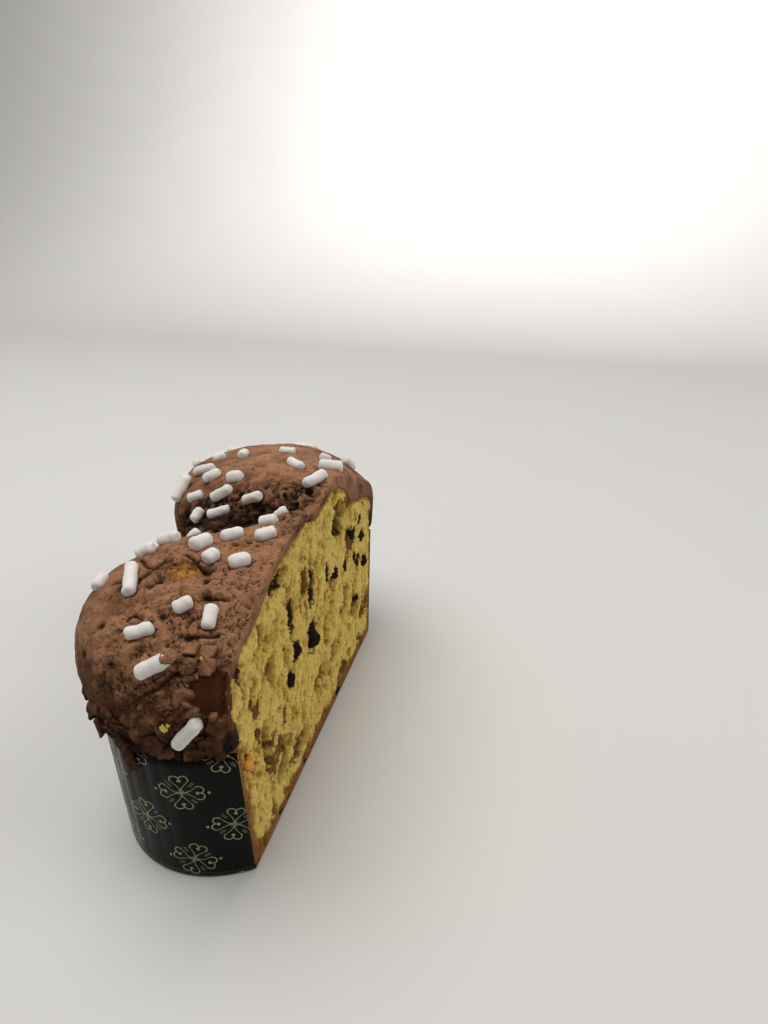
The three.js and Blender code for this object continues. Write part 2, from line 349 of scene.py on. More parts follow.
class Finish:
    """A new material with one Principled shader, and short ways to add to it."""

    def __init__(self, name, roughness, specular):
        self.material = bpy.data.materials.new(name)
        self.material.use_nodes = True
        self.tree = self.material.node_tree
        self.shader = next(n for n in self.tree.nodes if n.type == "BSDF_PRINCIPLED")
        self.shader.inputs["Roughness"].default_value = roughness
        self.shader.inputs["Specular IOR Level"].default_value = specular
        self.place = self.tree.nodes.new("ShaderNodeTexCoord").outputs["Object"]

    def link(self, source, target):
        self.tree.links.new(source.socket if isinstance(source, Field) else source, target)

    def attribute(self, name):
        node = self.tree.nodes.new("ShaderNodeAttribute")
        node.attribute_name = name
        return Field(self.tree, node.outputs["Fac"])

    def noise(self, size, detail=4, roughness=0.6, distortion=0, stretch=(1, 1, 1)):
        """Noise with lumps of size mm, stretched along the axes."""
        mapping = self.tree.nodes.new("ShaderNodeMapping")
        mapping.inputs["Scale"].default_value = [1 / (size * MM * s) for s in stretch]
        self.tree.links.new(self.place, mapping.inputs["Vector"])
        node = self.tree.nodes.new("ShaderNodeTexNoise")
        node.inputs["Scale"].default_value = 1
        node.inputs["Detail"].default_value = detail
        node.inputs["Roughness"].default_value = roughness
        node.inputs["Distortion"].default_value = distortion
        self.tree.links.new(mapping.outputs[0], node.inputs["Vector"])
        return Field(self.tree, node.outputs["Fac"])

    def cells(self, size):
        """Distance to the nearest of scattered points about size mm apart, in shares of that size."""
        node = self.tree.nodes.new("ShaderNodeTexVoronoi")
        node.inputs["Scale"].default_value = 1 / (size * MM)
        self.tree.links.new(self.place, node.inputs["Vector"])
        return Field(self.tree, node.outputs["Distance"])

    def mixed(self, share, first, second):
        """A colour between two, each a colour or the socket of one."""
        node = self.tree.nodes.new("ShaderNodeMix")
        node.data_type = "RGBA"
        self.link(share, node.inputs[0])
        for value, slot in ((first, node.inputs[6]), (second, node.inputs[7])):
            if isinstance(value, bpy.types.NodeSocket):
                self.link(value, slot)
            else:
                slot.default_value = (*value[:3], 1)
        return node.outputs[2]

    def colour(self, source):
        self.link(source, self.shader.inputs["Base Color"])

    def soft(self, weight, depth, colour):
        """Light that goes in and comes out again, depth mm away."""
        self.shader.inputs["Subsurface Weight"].default_value = weight
        self.shader.inputs["Subsurface Scale"].default_value = depth * MM
        self.shader.inputs["Subsurface Radius"].default_value = colour

    def bump(self, height, depth, strength=1.0):
        """Relief whose height of 0 to 1 stands for depth mm."""
        node = self.tree.nodes.new("ShaderNodeBump")
        node.inputs["Strength"].default_value = strength
        node.inputs["Distance"].default_value = depth * MM
        self.link(height, node.inputs["Height"])
        self.link(node.outputs["Normal"], self.shader.inputs["Normal"])


def screen(red, green, blue):
    """A colour given as a screen shows it, 0 to 255 each, as the shader needs it."""
    return tuple(((v / 255 + 0.055) / 1.055) ** 2.4 for v in (red, green, blue))


def dimmed(colour, share):
    return tuple(share * value for value in colour)


# ---------------------------------------------------------------- settings
def colour_setting(name, description, red, green, blue):
    return FloatVectorProperty(
        name=name, description=description, subtype="COLOR", min=0, max=1, default=screen(red, green, blue)
    )


def power_setting(name, description, watts):
    return FloatProperty(name=name, description=description, default=watts, min=0, unit="POWER")


class CrumbSettings(bpy.types.PropertyGroup):
    grid: FloatProperty(name="Grid", description="Fineness of the cut face, mm", default=0.9, min=0.5, max=3)
    # Pale and gold are partly the crumb's own tone and partly painted shade: the colour turns gold towards
    # the floors of the cells and tears, and the walls stay pale.
    pale: colour_setting("Pale crumb", "Dry walls of the crumb's cells", 234, 205, 112)
    gold: colour_setting("Gold crumb", "Denser, moist crumb", 158, 116, 34)
    # painted_pore_shade is painted shade: the crumb turns to it deep in its hollows
    painted_pore_shade: colour_setting("Pores", "Deep inside the crumb's cells", 92, 64, 20)
    crust: colour_setting("Crust", "Baked edge along the paper", 128, 80, 34)
    cocoa: colour_setting("Cocoa", "Crumb stained by chocolate", 46, 28, 16)


class GlazeSettings(bpy.types.PropertyGroup):
    grid: FloatProperty(name="Grid", description="Fineness of the glaze, mm", default=0.8, min=0.5, max=3)
    # Light and dark glaze are partly the glaze's own colour and partly painted light: the tone puts light on
    # top and dark low on the sides.
    light: colour_setting("Light glaze", "Dry glaze on top", 184, 132, 96)
    dark: colour_setting("Dark glaze", "Glaze low on the sides", 100, 64, 38)
    # deep is painted shade: the crack colour goes into cracks, pits, holes, the fold and under the flakes
    deep: colour_setting("Cracks", "Inside of cracks and pits", 34, 18, 10)
    bare: colour_setting("Bare crust", "Crust where the glaze came off", 92, 50, 23)
    golden: colour_setting("Golden crust", "Crust in the torn patches", 200, 136, 66)
    flakes: IntProperty(name="Flakes", description="Broken plates along the rim", default=74, min=0, max=300)


class SugarSettings(bpy.types.PropertyGroup):
    white: colour_setting("Sugar", "Pearl sugar", 226, 221, 214)


class CaseSettings(bpy.types.PropertyGroup):
    paper: colour_setting("Paper", "Printed outside of the case", 15, 14, 11)
    ink: colour_setting("Ink", "Lines of the print", 146, 150, 112)
    kraft: colour_setting("Kraft", "Unprinted inside and edges", 168, 122, 84)
    motif: FloatProperty(
        name="Flower", description="Reach of a printed flower, mm", default=7.2, min=2, max=20
    )
    pleat: FloatProperty(
        name="Pleats", description="Depth of the paper's pleats, mm", default=0.22, min=0, max=1
    )


class StageSettings(bpy.types.PropertyGroup):
    floor: colour_setting("Floor", "Floor and backdrop", 211, 209, 205)
    key: power_setting("Key light", "Power of the soft light from above", 9.5)
    backdrop: power_setting("Backdrop light", "Power on the backdrop", 16.0)
    left: power_setting("Left light", "Power of the left light", 1.1)
    right: power_setting("Right light", "Power of the right light", 5.6)
    fill: FloatProperty(name="Fill", description="Brightness of the surroundings", default=0.3, min=0)


# ---------------------------------------------------------------- outlines taken from the frame
def turn_of(points):
    """Turn in degrees round the middle of the cut, from its near end, of points in mm."""
    return np.degrees(np.arctan2(CUT_X - points[:, 0], -points[:, 1]))


def outline_table(node, low, high):
    """Turns and radii of a node's outermost points between two heights, in degrees and mm."""
    points = coordinates(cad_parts[node].data)
    points = points[(points[:, 2] > low) & (points[:, 2] < high)]
    turns = np.round(turn_of(points), 1)
    reach = np.hypot(CUT_X - points[:, 0], points[:, 1])
    listed = np.unique(turns)
    return listed, np.array([reach[turns == turn].max() for turn in listed])


def rounded_radii(table, turns):
    """Radii at any turns, with the corners between the table's rows rounded."""
    width = 2.5
    steps = np.linspace(-width, width, 9)
    radii = sum(np.interp(np.clip(turns + step, 0, 180), *table) for step in steps) / len(steps)
    inside = smooth(0, width, np.minimum(turns, 180 - turns))
    return radii * inside + np.interp(turns, *table) * (1 - inside)


def at_turn(turns, radii, heights):
    """Points in mm from their turns, radii and heights."""
    angles = np.radians(turns)
    heights = np.broadcast_to(heights, np.shape(turns))
    return np.stack([CUT_X - radii * np.sin(angles), -radii * np.cos(angles), heights], -1)


def even_turns(table, step):
    """Turns from 0 to 180 about step mm apart along an outline, and its length in mm."""
    fine = np.linspace(0, 180, 3601)
    places = at_turn(fine, rounded_radii(table, fine), 0)
    run = np.concatenate([[0], np.cumsum(np.linalg.norm(places[1:] - places[:-1], axis=1))])
    return np.interp(np.linspace(0, run[-1], round(run[-1] / step)), run, fine), run[-1]


def cut_edge(node):
    """A tree of points every half mm along the edges that a node shows in the plane of the cut."""
    spots = []
    bm = merged_copy(node)
    for edge in bm.edges:
        ends = [vert.co / MM for vert in edge.verts]
        if all(abs(end.x - CUT_X) < 0.05 for end in ends):
            count = max(2, int((ends[0] - ends[1]).length * 2))
            spots += [ends[0].lerp(ends[1], i / count) for i in range(count + 1)]
    bm.free()
    tree = kdtree.KDTree(len(spots))
    for i, spot in enumerate(spots):
        tree.insert(spot, i)
    tree.balance()
    return tree


def gap_to(tree, points):
    """Distance in mm from each point, moved into the plane of the cut, to the tree's nearest one."""
    return np.array([tree.find((CUT_X, y, z))[2] for _, y, z in points.tolist()])


# ---------------------------------------------------------------- paper case
PAPER_THICK = 0.7  # mm
BASE_THICK = 1.25  # mm, up to the crumb
BASE_INSET = 0.7  # mm from the wall's foot to the edge of the base's lower side
FOOT = (0.7, 0.85)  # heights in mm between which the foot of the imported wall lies
WALL_ROWS = (0.8, 3, 8, 14, 20, 26, 32, 38, 44, 50, 55)  # heights of the wall's rows, mm
COLUMN = 0.75  # mm between the wall's columns
PRINT_ALONG = 29.8  # mm along the wall between flowers of one row
PRINT_UP = 30.8  # mm up the wall between flowers of one column
PRINT_START = (4.4, 24.6)  # mm along and up the wall to the first flower
FLOWER_DRAWN = 7.2  # mm, the reach for which the flower's numbers below are given
DOT_ASIDE = 8.6  # mm from the middle of a flower to the dot beside it
DOT_RADIUS = 0.52  # mm


def wall_rows(bm, columns):
    """Rows of points joined by quads, from the bottom to the top, still to be placed."""
    rows = [[bm.verts.new((0, 0, 0)) for _ in range(columns)]]
    edges = [bm.edges.new(pair) for pair in zip(rows[0], rows[0][1:])]
    for _ in WALL_ROWS[1:]:
        made = bmesh.ops.extrude_edge_only(bm, edges=edges)["geom"]
        fresh = set(of_kind(made, bmesh.types.BMVert))
        edges = [edge for edge in of_kind(made, bmesh.types.BMEdge) if edge.is_boundary]
        edges = [edge for edge in edges if all(vert in fresh for vert in edge.verts)]
        above = []
        for vert in rows[-1]:
            ends = [edge.other_vert(vert) for edge in vert.link_edges]
            above.append(next(end for end in ends if end in fresh))
        rows.append(above)
    return rows


def case_wall(pleat):
    """The pleated wall as a thin shell, with the print's coordinates: mm along the wall and up it."""
    base = outline_table("paper_case", *FOOT)
    rim = outline_table("paper_case", RIM_Z - 0.1, RIM_Z + 0.1)
    turns, length = even_turns(base, COLUMN)
    run = np.linspace(0, length, len(turns))
    points = np.stack([run, run * 0, run * 0], 1)
    fold = cloud(points, 2.6, 2, seed=4) + 0.7 * cloud(points, 7, 2, seed=5)
    bm = bmesh.new()
    uv = bm.loops.layers.uv.new("print")
    places = {}
    for height, row in zip(WALL_ROWS, wall_rows(bm, len(turns))):
        share = height / RIM_Z
        radii = rounded_radii(base, turns) * (1 - share) + rounded_radii(rim, turns) * share
        radii = radii + pleat * fold * smooth(0, 12, height) - 0.05
        for vert, place, along in zip(row, at_turn(turns, radii, height).tolist(), run.tolist()):
            vert.co = Vector(place) * MM
            places[vert] = (along, height)
    for face in bm.faces:
        for loop in face.loops:
            loop[uv].uv = Vector(places[loop.vert]) * MM
    bmesh.ops.recalc_face_normals(bm, faces=bm.faces)
    facing_out = sum(face.normal.y * face.calc_center_median().y for face in bm.faces)
    if facing_out < 0:
        bmesh.ops.reverse_faces(bm, faces=bm.faces)
    bmesh.ops.solidify(bm, geom=list(bm.faces), thickness=PAPER_THICK * MM)
    return bm


def add_base(bm):
    """Adds the flat base, its upper edge reaching almost to the wall."""
    base = outline_table("paper_case", *FOOT)
    turns, _ = even_turns(base, 2.0)
    places = at_turn(turns, rounded_radii(base, turns) - BASE_INSET, 0)
    face = bm.faces.new([bm.verts.new(Vector(place) * MM) for place in places.tolist()])
    top = bmesh.ops.extrude_face_region(bm, geom=[face])["geom"]
    lifted = of_kind(top, bmesh.types.BMVert)
    bmesh.ops.translate(bm, verts=lifted, vec=(0, 0, BASE_THICK * MM))
    for vert in lifted:
        if vert.co.x < (CUT_X - 1) * MM:
            middle = Vector((CUT_X * MM, 0, vert.co.z))
            vert.co += (vert.co - middle).normalized() * (BASE_INSET - 0.1) * MM


def from_point(along, up):
    """Distance from the origin of two coordinates."""
    return (along * along + up * up).math("SQRT")


def flower(along, up, reach):
    """1 on the lines of a four-petalled flower round the origin, reach mm from middle to edge."""
    unit = reach / FLOWER_DRAWN
    length, width = abs(along).most(abs(up)), abs(along).least(abs(up))
    to_lobe = from_point(length - 5.7 * unit, width - 1.42 * unit)
    arc = abs(to_lobe - 1.46 * unit).below(0.2 * unit, 0.1) * (length - 4.9 * unit).above(0, 0.1)
    side = length * length * (0.116 / unit)
    flank = abs(width - side).below(0.15 * unit, 0.12) * length.below(5.0 * unit, 0.1)
    bead = from_point(length - 5.1 * unit, width - 0.15 * unit).below(0.5 * unit, 0.12)
    notch = width.below(0.18 * unit, 0.1) * abs(length - 5.6 * unit).below(0.55 * unit, 0.1)
    slant = length + width
    stroke = abs(abs(length - width) - 0.42 * unit).below(0.1 * unit, 0.08)
    stroke = stroke * abs(slant - FLOWER_DRAWN * unit).below(1.7 * unit, 0.3)
    star = width.below(0.13 * unit, 0.08).most((length - width).below(0.15 * unit, 0.08))
    star = star * slant.below(1.9 * unit, 0.3)
    return arc.most(flank).most(bead).most(notch).most(stroke).most(star)


def print_lines(along, up, reach):
    """1 on the printed lines: flowers in staggered columns, each leaning its own way, and dots."""
    lines = None
    for column in (0, 1):
        start_along = PRINT_START[0] + PRINT_ALONG * 0.5 * column
        start_up = PRINT_START[1] - PRINT_UP * 0.5 * column
        column_number = ((along - start_along) / PRINT_ALONG).math("ROUND")
        row_number = ((up - start_up) / PRINT_UP).math("ROUND")
        x = along - start_along - column_number * PRINT_ALONG
        y = up - start_up - row_number * PRINT_UP
        lean = (column_number * 2.4 + row_number * 1.7 + 0.9 * column + 0.6).math("SINE") * 0.34
        cosine, sine = lean.math("COSINE"), lean.math("SINE")
        drawn = flower(x * cosine + y * sine, y * cosine - x * sine, reach)
        drawn = drawn.most(from_point(abs(x) - DOT_ASIDE, y).below(DOT_RADIUS, 0.15))
        lines = drawn if lines is None else lines.most(drawn)
    return lines


def paper_finish(settings):
    """Black satin paper with a print of thin olive-gold flowers in staggered columns."""
    finish = Finish("printed_paper", 0.24, 0.07)
    tree = finish.tree
    uv = tree.nodes.new("ShaderNodeUVMap")
    uv.uv_map = "print"
    split = tree.nodes.new("ShaderNodeSeparateXYZ")
    tree.links.new(uv.outputs[0], split.inputs[0])
    along, up = (Field(tree, split.outputs[i]) / MM for i in (0, 1))
    worn = finish.noise(0.9, 3).above(0.36, 0.14) * 0.6 + 0.4
    tint = finish.mixed(finish.noise(30, 2), dimmed(settings.paper, 0.8), settings.paper)
    finish.colour(finish.mixed(print_lines(along, up, settings.motif) * worn, tint, settings.ink))
    finish.bump(finish.noise(0.5, 4, stretch=(1, 1, 6)), 0.02, 0.4)
    gloss = finish.noise(5, 3, stretch=(1, 1, 6)) * 0.2 + 0.16
    finish.link(gloss, finish.shader.inputs["Roughness"])
    return finish.material


def kraft_finish(settings):
    """Unprinted brown paper."""
    finish = Finish("kraft_paper", 0.85, 0.3)
    fibres = finish.noise(0.8, 6, stretch=(1, 3, 1))
    finish.colour(finish.mixed(fibres, dimmed(settings.kraft, 0.6), settings.kraft))
    finish.bump(fibres, 0.1, 0.6)
    return finish.material


class COLOMBA_OT_paper_case(bpy.types.Operator):
    """Make the printed paper case, wall and base"""

    bl_idname = "colomba.paper_case"
    bl_label = "Paper Case"

    def execute(self, context):
        settings = context.scene.colomba_case
        bm = case_wall(settings.pleat)
        add_base(bm)
        bmesh.ops.recalc_face_normals(bm, faces=bm.faces)
        for face in bm.faces:
            cut = face.normal.x > 0.8 and face.calc_center_median().x > (CUT_X - 0.9) * MM
            face.material_index = 1 if cut else 0
        piece = make_object("paper_case_shell", bm, paper_finish(settings), kraft_finish(settings))
        finish_piece(piece, "paper", "paper_case")
        return {"FINISHED"}


# ---------------------------------------------------------------- crumb
SLAB = 15  # mm of the cake behind the cut that is modelled finely
FINEST = 9  # mm behind the cut where the grid is halved
STAINED_ROUND = 0.9  # mm of stained crumb round a chocolate drop
CUT_MIDDLE_Z = 0.045  # m, height of the middle of the cut
# The crumb's cells: mm between neighbours, their share and fill, as pores takes them.
WIDE_CELLS = (12, 0.6, 0.42)
ROUND_CELLS = (5.6, 0.8, 0.46)
LITTLE_CELLS = (2.9, 0.95, 0.5)
TALL = np.array([1, 1, 0.66])  # the cells are taller than wide
GRAIN_LEAN = math.radians(24)  # of the torn crumb's fibres, from upright
STAINS = [  # dark places in the cut face: (y, z, radius across, radius up) in mm
    (-12.3, 50, 5.2, 7),
    (-30.2, 55.3, 3.6, 4.4),
    (-37.6, 47.6, 3.2, 4),
    (-43.3, 93.0, 5.5, 3.4),
    (-11.4, 71.5, 3.4, 8.5),
    (-32.3, 72.5, 3.0, 7),
    (-41.2, 60, 1.7, 5),
    (-77.1, 80.2, 1.6, 4.5),
    (7.4, 67.1, 2.4, 5),
    (24, 82, 5, 6),
    (46, 30, 4, 4),
    (53, 48, 3.4, 4),
]
SMEARS = [  # browner crumb: (y, z, radius across, radius up) in mm
    (-68.5, 59, 3.4, 4),
    (-68.7, 49, 2.6, 4),
    (-64, 44, 2, 5),
    (-54.2, 31, 6, 4),
    (-60, 27, 3, 7),
    (-47, 40, 2, 5),
    (-50, 22, 5, 5),
    (-36, 14, 9, 4),
    (-71.5, 64, 1.5, 3),
    (-58, 38, 3, 3),
    (-20, 78, 5, 8),
    (25, 40, 5, 4),
    (23.6, 7.8, 5, 3),
    (38, 66, 9, 6),
    (60, 20, 6, 6),
]


def spotted(points, spots):
    """1 in the middle of flat oval spots in the plane of the cut and 0 away from them."""
    found = np.zeros(len(points))
    for y, z, across, up in spots:
        gap = ((points[:, 1] - y) / across) ** 2 + ((points[:, 2] - z) / up) ** 2
        found = np.maximum(found, np.exp(-gap))
    return found


def crumb_depths(points):
    """Depth in mm of the torn crumb under the plane of the cut, and how far it is into a cell, 0 to 1, which
    the colour uses as painted shade.
    """
    warp = clouds(points, 5, 3, 1, 2, 3)
    loose = smooth(-0.3, 0.35, cloud(points, 17, 3, seed=14))
    tall = (points + 1.6 * warp) * TALL
    wide_cells = pores(tall, *WIDE_CELLS, seed=1)
    round_cells = pores(tall, *ROUND_CELLS, seed=2)
    little_cells = pores(tall, *LITTLE_CELLS, seed=3)
    fine_cells = foam(points + 0.8 * warp, 1.5, 0.5, seed=18)
    depth = np.maximum(3.4 * wide_cells, 2.3 * round_cells)
    depth = np.maximum(depth, (0.7 + 0.9 * loose) * little_cells)
    depth += (0.25 + 0.3 * loose) * fine_cells
    across = points[:, 1] * math.cos(GRAIN_LEAN) - points[:, 2] * math.sin(GRAIN_LEAN)
    along = points[:, 1] * math.sin(GRAIN_LEAN) + points[:, 2] * math.cos(GRAIN_LEAN)
    grain = np.stack([points[:, 0], across, along * 0.3], 1) + 1.5 * warp
    tears = smooth(0.08, 0.5, cloud(grain, 3.6, 4, seed=15))
    fibres = cloud(grain, 1.3, 3, seed=19)
    depth += 1.0 * tears + 0.35 * fibres
    depth += 0.25 * cloud(points, 1.2, 2, seed=6) + 0.8 * cloud(points, 14, 2, seed=7)
    cell = 0.75 * np.maximum(np.maximum(wide_cells, round_cells), (0.4 + 0.6 * loose) * little_cells)
    return depth, cell + 0.25 * fine_cells + 0.4 * tears


def drop_spots():
    """The chocolate drops as spots in the plane of the cut, a little wider than they are."""
    spots = []
    for node in nodes_named("chocolate_drop"):
        low, high = (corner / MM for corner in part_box(node))
        across = (high.y - low.y) / 2 + STAINED_ROUND
        up = (high.z - low.z) / 2 + STAINED_ROUND
        spots.append(((low.y + high.y) / 2, (low.z + high.z) / 2, across, up))
    return spots


def crumb_finish(settings):
    """Yellow crumb with painted shade in its cells and hollows, brown where it is baked or stained."""
    finish = Finish("yellow_crumb", 0.92, 0.2)
    hollow = finish.attribute("hollow")
    patches = finish.noise(8, 5, 0.65) * 0.5 + finish.noise(0.8, 4, 0.75, stretch=(1, 1, 2)) * 0.8 - 0.15
    # Painted shade: the cell attribute turns the crumb gold in its cells and tears; the noise patches are
    # its own tone.
    share = patches - finish.attribute("cell") + 0.36
    body = finish.mixed(share, settings.gold, settings.pale)
    # Painted shade: the crumb turns to the pore colour where it lies deep under the cut.
    body = finish.mixed(hollow.above(0.42, 0.3) * 0.8, body, settings.painted_pore_shade)
    baked = finish.mixed(finish.attribute("crust"), body, settings.crust)
    browned = finish.mixed(finish.attribute("smear"), baked, dimmed(settings.crust, 0.6))
    finish.colour(finish.mixed(finish.attribute("cocoa"), browned, settings.cocoa))
    fine = finish.cells(0.9) * 0.7 + finish.noise(0.5, 5, 0.7) * 0.5
    finish.bump(fine, 0.6)
    finish.soft(0.2, 2.5, (1.0, 0.7, 0.25))
    return finish.material


class COLOMBA_OT_crumb(bpy.types.Operator):
    """Make the crumb with its torn, porous cut face"""

    bl_idname = "colomba.crumb"
    bl_label = "Crumb"

    def execute(self, context):
        settings = context.scene.colomba_crumb
        piece = make_object("crumb_body", self.part(front=True))
        remesh(piece, settings.grid)
        self.refine(piece.data)
        self.tear(piece.data)
        self.add_rest(piece.data)
        thin(piece)
        piece.data.materials.append(crumb_finish(settings))
        finish_piece(piece, "crumb", "crumb")
        return {"FINISHED"}

    @staticmethod
    def part(front):
        """The slab of crumb at the cut, or else what lies behind it, closed where the two meet."""
        bm = merged_copy("crumb")
        cut = bmesh.ops.bisect_plane(
            bm,
            geom=[*bm.verts, *bm.edges, *bm.faces],
            plane_co=Vector(((CUT_X - SLAB) * MM, 0, 0)),
            plane_no=Vector((1, 0, 0)),
            clear_inner=front,
            clear_outer=not front,
        )["geom_cut"]
        bmesh.ops.contextual_create(bm, geom=of_kind(cut, bmesh.types.BMEdge))
        return bm

    @staticmethod
    def is_shown(face):
        """Whether a face is in the cut or its hollows, and not against the paper or the glaze."""
        middle = face.calc_center_median()
        if middle.x <= (CUT_X - FINEST) * MM or face.normal.x <= -0.2:
            return False
        towards = Vector((0, -middle.y, CUT_MIDDLE_Z - middle.z))
        return face.normal.x > 0.3 or face.normal.dot(towards) > 0

    def refine(self, mesh):
        """Halves the grid in the cut face and its hollows."""
        bm = bmesh.new()
        bm.from_mesh(mesh)
        shown = [face for face in bm.faces if self.is_shown(face)]
        halve_grid(bm, list({edge for face in shown for edge in face.edges}))
        bm.to_mesh(mesh)
        bm.free()

    def add_rest(self, mesh):
        """Adds the plain crumb behind the slab, brown all over like a baked side."""
        part = self.part(front=False)
        rest = bpy.data.meshes.new("crumb_rest")
        part.to_mesh(rest)
        part.free()
        for name in ("crust", "smear"):
            paint(rest, name, np.ones(len(rest.vertices)))
        whole = bmesh.new()
        whole.from_mesh(mesh)
        whole.from_mesh(rest)
        whole.to_mesh(mesh)
        whole.free()
        bpy.data.meshes.remove(rest)

    def tear(self, mesh):
        """Sinks the cut face to torn, porous crumb and paints it."""
        points = coordinates(mesh)
        flat = points.copy()
        flat[:, 0] = CUT_X
        behind = CUT_X - points[:, 0]
        paper = gap_to(cut_edge("paper_case"), points)
        glaze = gap_to(cut_edge("glaze"), points)
        shown = smooth(10, 7, behind) * smooth(-0.1, 0.35, directions(mesh)[:, 0])
        breakup = cloud(flat, 2.4, 4, seed=10)
        stained = spotted(flat + 1.5 * breakup[:, None], STAINS)
        depth, cell = crumb_depths(flat)
        depth = depth + 2.2 * stained
        edge = smooth(0, 2.5, np.minimum(paper, glaze))
        moved = points.copy()
        moved[:, 0] -= shown * (depth * (0.15 + 0.85 * edge) - 0.25)
        moved[:, 1:] += 0.6 * clouds(flat, 2.0, 3, 8, 9) * (shown * edge)[:, None]
        self.bulge(moved, glaze)
        move_to(mesh, moved)
        # The depth under the cut is painted as shade in the crumb's hollows.
        deep = CUT_X - moved[:, 0]
        paint(mesh, "hollow", deep / 6)
        # How far each point is into a cell, painted as shade.
        paint(mesh, "cell", cell * shown)
        side = smooth(2, 4, behind) * smooth(8, 5, np.minimum(paper, glaze))
        band = smooth(4.6, 1.0, paper + 2.0 * breakup - 3.0 * smooth(14, 4, points[:, 2]))
        crust = np.maximum(0.92 * band, 0.8 * smooth(1.8, 0.4, glaze + 0.9 * breakup))
        paint(mesh, "crust", np.maximum(crust, 0.92 * side))
        smears = smooth(0.3, 0.7, spotted(flat, SMEARS) + 0.6 * breakup)
        paint(mesh, "smear", 0.95 * np.maximum(smears, side))
        dark = np.maximum(1.35 * stained, spotted(flat, drop_spots()))
        # Painted shade: the 0.03 * deep term makes deeper hollows darker; the rest is chocolate stain and
        # noise.
        paint(mesh, "cocoa", smooth(0.42, 0.75, dark + 0.45 * breakup + 0.03 * deep))

    @staticmethod
    def bulge(points, glaze):
        """Pushes crumb out past the chipped edge of the near lobe's glaze."""
        near_side = smooth(-62, -74, points[:, 1])
        near_side = near_side * smooth(56, 64, points[:, 2]) * smooth(97, 90, points[:, 2])
        push = 3.2 * near_side * smooth(4.5, 0.5, glaze) * smooth(5, 1.5, CUT_X - points[:, 0])
        push = push * (0.75 + 0.5 * cloud(points, 3, 3, seed=16))
        points[:, 1:] += push[:, None] * outward(points)


# ---------------------------------------------------------------- glaze
GOLDEN = [  # golden hollows: centre and radius, mm
    ((14.6, -57.5, 101.0), 4.6),
    ((11.0, -57.5, 100.8), 3.2),
    ((18.2, -56.2, 101.3), 3.0),
    ((25.7, -40.7, 102.8), 2.4),
    ((28.5, -40.2, 102.9), 1.6),
]
HOLES = [  # centre, radius and depth, mm
    ((21.8, -56.2, 101.2), 2.1, 2.8),
    ((20.2, -54.6, 101.4), 1.2, 1.4),
    ((23.8, -60.2, 100.3), 1.3, 1.4),
    ((-3, -78.6, 91.3), 1.3, 1.2),
    ((-4.3, -64.4, 95.8), 1.6, 0.9),
    ((-6.5, -84.4, 83.7), 1.6, 1.0),
    ((6.7, -64.6, 98.2), 1.5, 1.1),
    ((8.4, -62.5, 99.1), 1.5, 1.1),
    ((26.5, -66.1, 98.1), 1.6, 1.4),
    ((27.6, -80, 92.1), 1.4, 1.2),
    ((24.6, -79.4, 92.6), 1.1, 1.0),
    ((15.7, -74.6, 95.3), 1.6, 1.0),
    ((6.7, -89.8, 86.5), 1.5, 1.0),
    ((13.4, -77.2, 94.2), 1.3, 1.0),
    ((32, -39.5, 103), 1.2, 0.9),
    ((28.2, -37.3, 102.9), 1.2, 0.9),
    ((25.7, -91.9, 63.6), 1.6, 1.4),
]
SPLITS = [  # paths of the larger cracks, mm
    ((5.7, -77.4, 93.4), (7.3, -75.9, 94.1), (10.5, -76.8, 94.2)),
    ((-5.4, -50, 98.3), (0.5, -55.2, 99.4), (5.6, -57.2, 100.4), (8.1, -53.1, 101.8)),
    ((-9.2, -61.6, 94.5), (1.3, -61.3, 98.4), (6.3, -53.8, 101.6)),
    ((26.5, -66.1, 98.1), (29.5, -65.9, 97.8), (33.1, -64.7, 97.6)),
    ((26.4, -79.4, 92.5), (30, -78.4, 92.4), (34.5, -76.5, 92.3)),
    ((15.9, -93.8, 78.8), (19.7, -92.9, 80.9), (23.7, -92.5, 82.9), (28, -89.1, 87.4)),
    ((12, -50.2, 102.2), (20.2, -54.6, 101.4)),
]
BARE = [  # where the glaze came off in a sheet: centre and radius, mm
    ((34.6, -90.2, 81.6), 4.6),
    ((38.1, -88.4, 84.6), 4.4),
    ((38.4, -90.1, 77.7), 4.6),
]
ROUGH = [  # roughest places: centre and radius, mm
    ((28, -72, 95), 14),
    ((25, -84, 88), 11),
]
# Path of the fold between the lobes, and one along the foot of the far lobe beside it, mm.
VALLEY = ((41, -22, 96), (16.7, 1.1, 93.4), (6.7, -1.7, 90.7), (-12, 2, 84), (-30, 4, 72))
FAR_FLANK = ((34, 8, 97), (16, 9, 94), (2, 10, 90), (-10, 10, 86), (-24, 9, 78))


